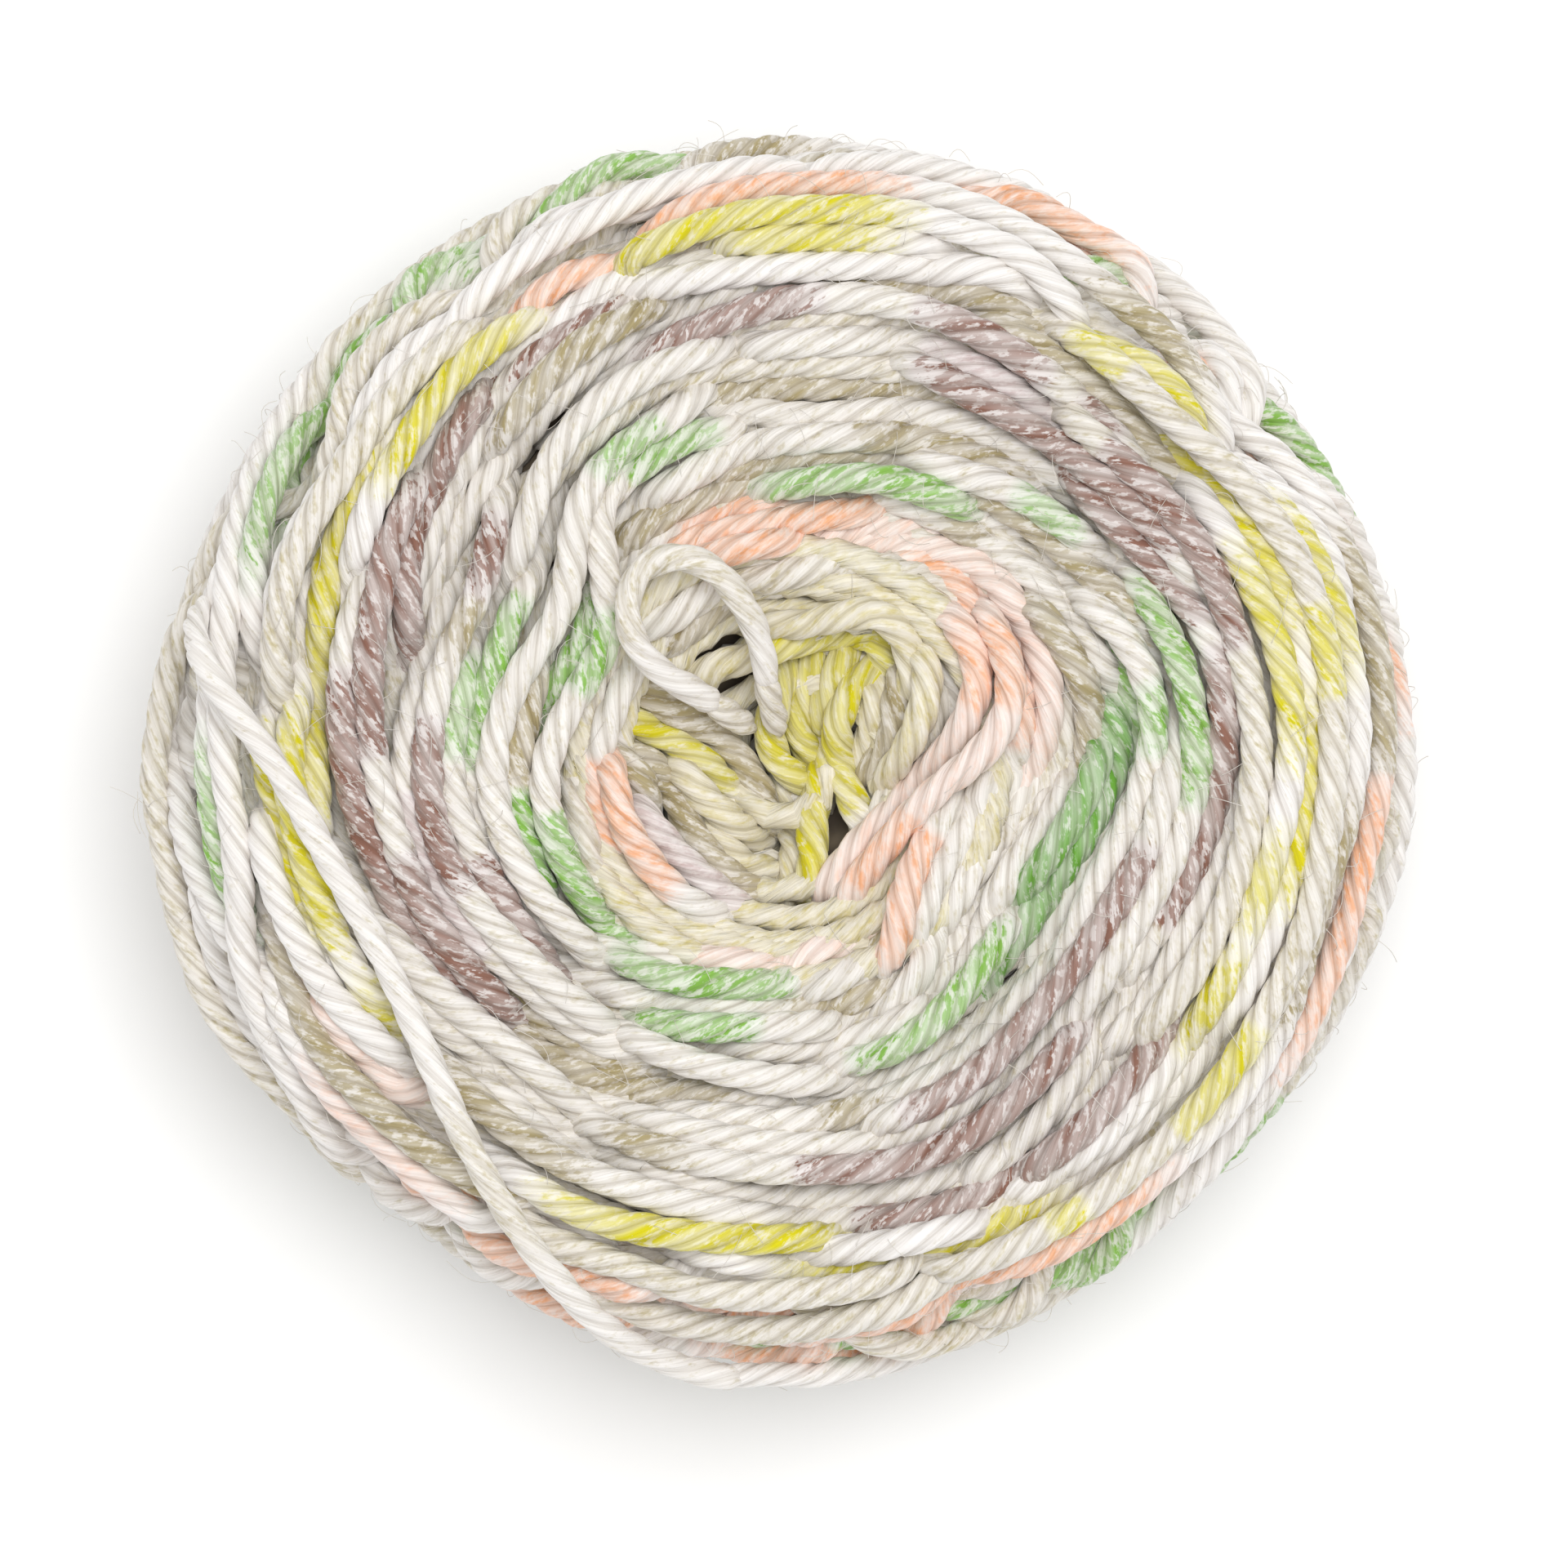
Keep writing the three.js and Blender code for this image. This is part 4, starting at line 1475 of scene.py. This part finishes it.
core_places = np.linspace(CORE_MARGIN, BED_END - CORE_MARGIN, CORE_RINGS)
core_angles = np.arange(CORE_COLUMNS) * 360 / CORE_COLUMNS
core_points = []
for place in core_places:
    ring, ring_out = on_bed(core_angles, np.full(CORE_COLUMNS, place))
    core_points.append(ring - ring_out * (CORE_DEPTH - YARN / 2))
core_grid = np.arange(CORE_RINGS * CORE_COLUMNS).reshape(CORE_RINGS, CORE_COLUMNS)
core_quads = ring_quads(core_grid)
core_caps = end_caps(core_grid, core_grid.size)
poles = np.array([core_points[0].mean(axis=0), core_points[-1].mean(axis=0)])
core = new_mesh("dark_shadow_core", np.vstack(core_points + [poles]), core_quads, core_caps)
finish_piece(core, painted_shadow_cotton())
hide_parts("wound_body")
print("core with", 2 * len(core_quads) + len(core_caps), "triangles")

# %% [markdown]
# Cotton is a little hairy. Single fibres work loose from the plies, lift off in small arcs and lie
# down again. Each is a thin three-sided tube that starts and ends in the yarn.

# %% The middle line of one loose fibre
FIBRE_POINTS = 7
FROM_ENDS = 14
FIBRE_REACH = (1.5, 4.2)
FIBRE_HEIGHT = (0.25, 0.9)
FIBRE_BEND = 1.2
FIBRE_ROOT = 0.15


def one_fibre(strand):
    """Middle line of one loose fibre that arcs over the yarn."""
    k = int(chance.integers(FROM_ENDS, len(strand["middle"]) - FROM_ENDS))
    near = slice(k - 2, k + 3)
    _, outward, sideways = frames_along(strand["middle"][near], strand["out"][near])
    forward = np.cross(outward[2], sideways[2])
    lean = chance.uniform(-1.0, 1.0)
    away = outward[2] * math.cos(lean) + sideways[2] * math.sin(lean)
    heading = chance.uniform(0, 2 * math.pi)
    travel = forward * math.cos(heading) + np.cross(away, forward) * math.sin(heading)
    bend = np.cross(away, travel) * chance.uniform(-FIBRE_BEND, FIBRE_BEND)
    reach = chance.uniform(*FIBRE_REACH)
    share = np.linspace(0, 1, FIBRE_POINTS)[:, None]
    height = chance.uniform(*FIBRE_HEIGHT) * np.sin(math.pi * share**0.8)
    foot = strand["middle"][k] + away * (YARN / 2 - FIBRE_ROOT)
    return foot + travel * reach * share + away * height + bend * share**2


print("a fibre reaches up to", FIBRE_REACH[1], "mm and rises up to", FIBRE_HEIGHT[1], "mm")

# %% Loose fibres
FIBRE_COUNT = 1300
FIBRE_RADIUS = 0.028
FIBRE_SIDES = 3
FIBRE_AIM = (0.3, 0.5, 0.81)
LOWEST_FIBRE = 0.05
LEAST_POINTS = 40

shown = [s for s in strands if s["group"] != "base" and len(s["middle"]) > LEAST_POINTS]
lengths = np.array([len(s["middle"]) for s in shown], float)
picks = chance.choice(len(shown), FIBRE_COUNT, p=lengths / lengths.sum())
ring_turn = np.arange(FIBRE_SIDES) * 2 * math.pi / FIBRE_SIDES
fibre_grid = np.arange(FIBRE_POINTS * FIBRE_SIDES).reshape(FIBRE_POINTS, FIBRE_SIDES)
fibre_points, fibre_quads = [], []
for n, pick in enumerate(picks):
    line = one_fibre(shown[pick])
    _, side_one, side_two = frames_along(line, np.tile(FIBRE_AIM, (FIBRE_POINTS, 1)))
    ring = line[:, None] + FIBRE_RADIUS * (
        side_one[:, None] * np.cos(ring_turn)[None, :, None]
        + side_two[:, None] * np.sin(ring_turn)[None, :, None]
    )
    fibre_points.append(ring.reshape(-1, 3))
    fibre_quads.append(ring_quads(n * fibre_grid.size + fibre_grid))
all_fibre_points = np.vstack(fibre_points)
all_fibre_points[:, 2] = np.maximum(all_fibre_points[:, 2], LOWEST_FIBRE)
fibres = new_mesh("loose_fibres", all_fibre_points, np.vstack(fibre_quads), np.empty((0, 3)))
print(FIBRE_COUNT, "loose fibres")

# %% Cotton fibre


def cotton_fibre():
    """Single cotton fibres: nearly white, and a little glossier than the plies."""
    made, tree = new_material("cotton_fibre")
    place = add(tree, "ShaderNodeTexCoord").outputs["Object"]
    tone = add(tree, "ShaderNodeTexNoise", {"Vector": place, "Scale": 1 / (8 * MM)})
    tint = two_tones(tree, tone.outputs["Fac"], "#BDB3A2", "#FBF8F4")
    surface(tree, {"Base Color": tint, "Roughness": 0.7})
    return made


finish_piece(fibres, cotton_fibre())
print("the fibres ride on the cake's one body")

# %% [markdown]
# The cake lies on a pale matt surface in soft studio light. A large lamp high at the upper right
# gives a weak shadow at the lower left, and a bright surrounding fills the rest, so that the
# grooves stay light.

# %% The board beneath
FLOOR_SIZE = 2.4


def matt_board():
    """Matt white board: it takes a soft shadow and shows no reflection."""
    made, tree = new_material("matt_white_board")
    place = add(tree, "ShaderNodeTexCoord").outputs["Object"]
    tone = add(tree, "ShaderNodeTexNoise", {"Vector": place, "Scale": 9.0, "Detail": 3.0})
    tint = two_tones(tree, tone.outputs["Fac"], "#F8F8F7", "#FBFBFB")
    surface(tree, {"Base Color": tint, "Roughness": 0.95, "Specular IOR Level": 0.1})
    return made


half = FLOOR_SIZE / 2 / MM
floor_corners = np.array([(-half, -half, 0), (half, -half, 0), (half, half, 0), (-half, half, 0)], float)
floor = new_mesh("pale_board", floor_corners, np.array([[0, 1, 2, 3]]), np.empty((0, 3)))
floor.data.materials.append(matt_board())
print("board", FLOOR_SIZE, "m wide")

# %% Soft light
WORLD_LEVEL = 0.71
KEY_WATTS = 9.0
KEY_SIZE = 0.6
KEY_PLACE = (0.11, 0.15, 1.3)

key_data = bpy.data.lights.new("soft_key", "AREA")
key_data.shape = "DISK"
key_data.size = KEY_SIZE
key_data.energy = KEY_WATTS
key = bpy.data.objects.new("soft_key", key_data)
key.location = KEY_PLACE
towards = -np.array(KEY_PLACE)
key.rotation_euler = (
    math.acos(-towards[2] / np.linalg.norm(towards)), 0.0, math.atan2(towards[1], towards[0]) - math.pi / 2
)
bpy.context.scene.collection.objects.link(key)

world = bpy.data.worlds.new("studio")
world.use_nodes = True
backdrop = world.node_tree.nodes["Background"]
backdrop.inputs["Color"].default_value = (1.0, 1.0, 1.0, 1.0)
backdrop.inputs["Strength"].default_value = WORLD_LEVEL
bpy.context.scene.world = world
bpy.context.scene.view_settings.view_transform = "Standard"
print("a lamp of", KEY_WATTS, "W and a world at", WORLD_LEVEL)
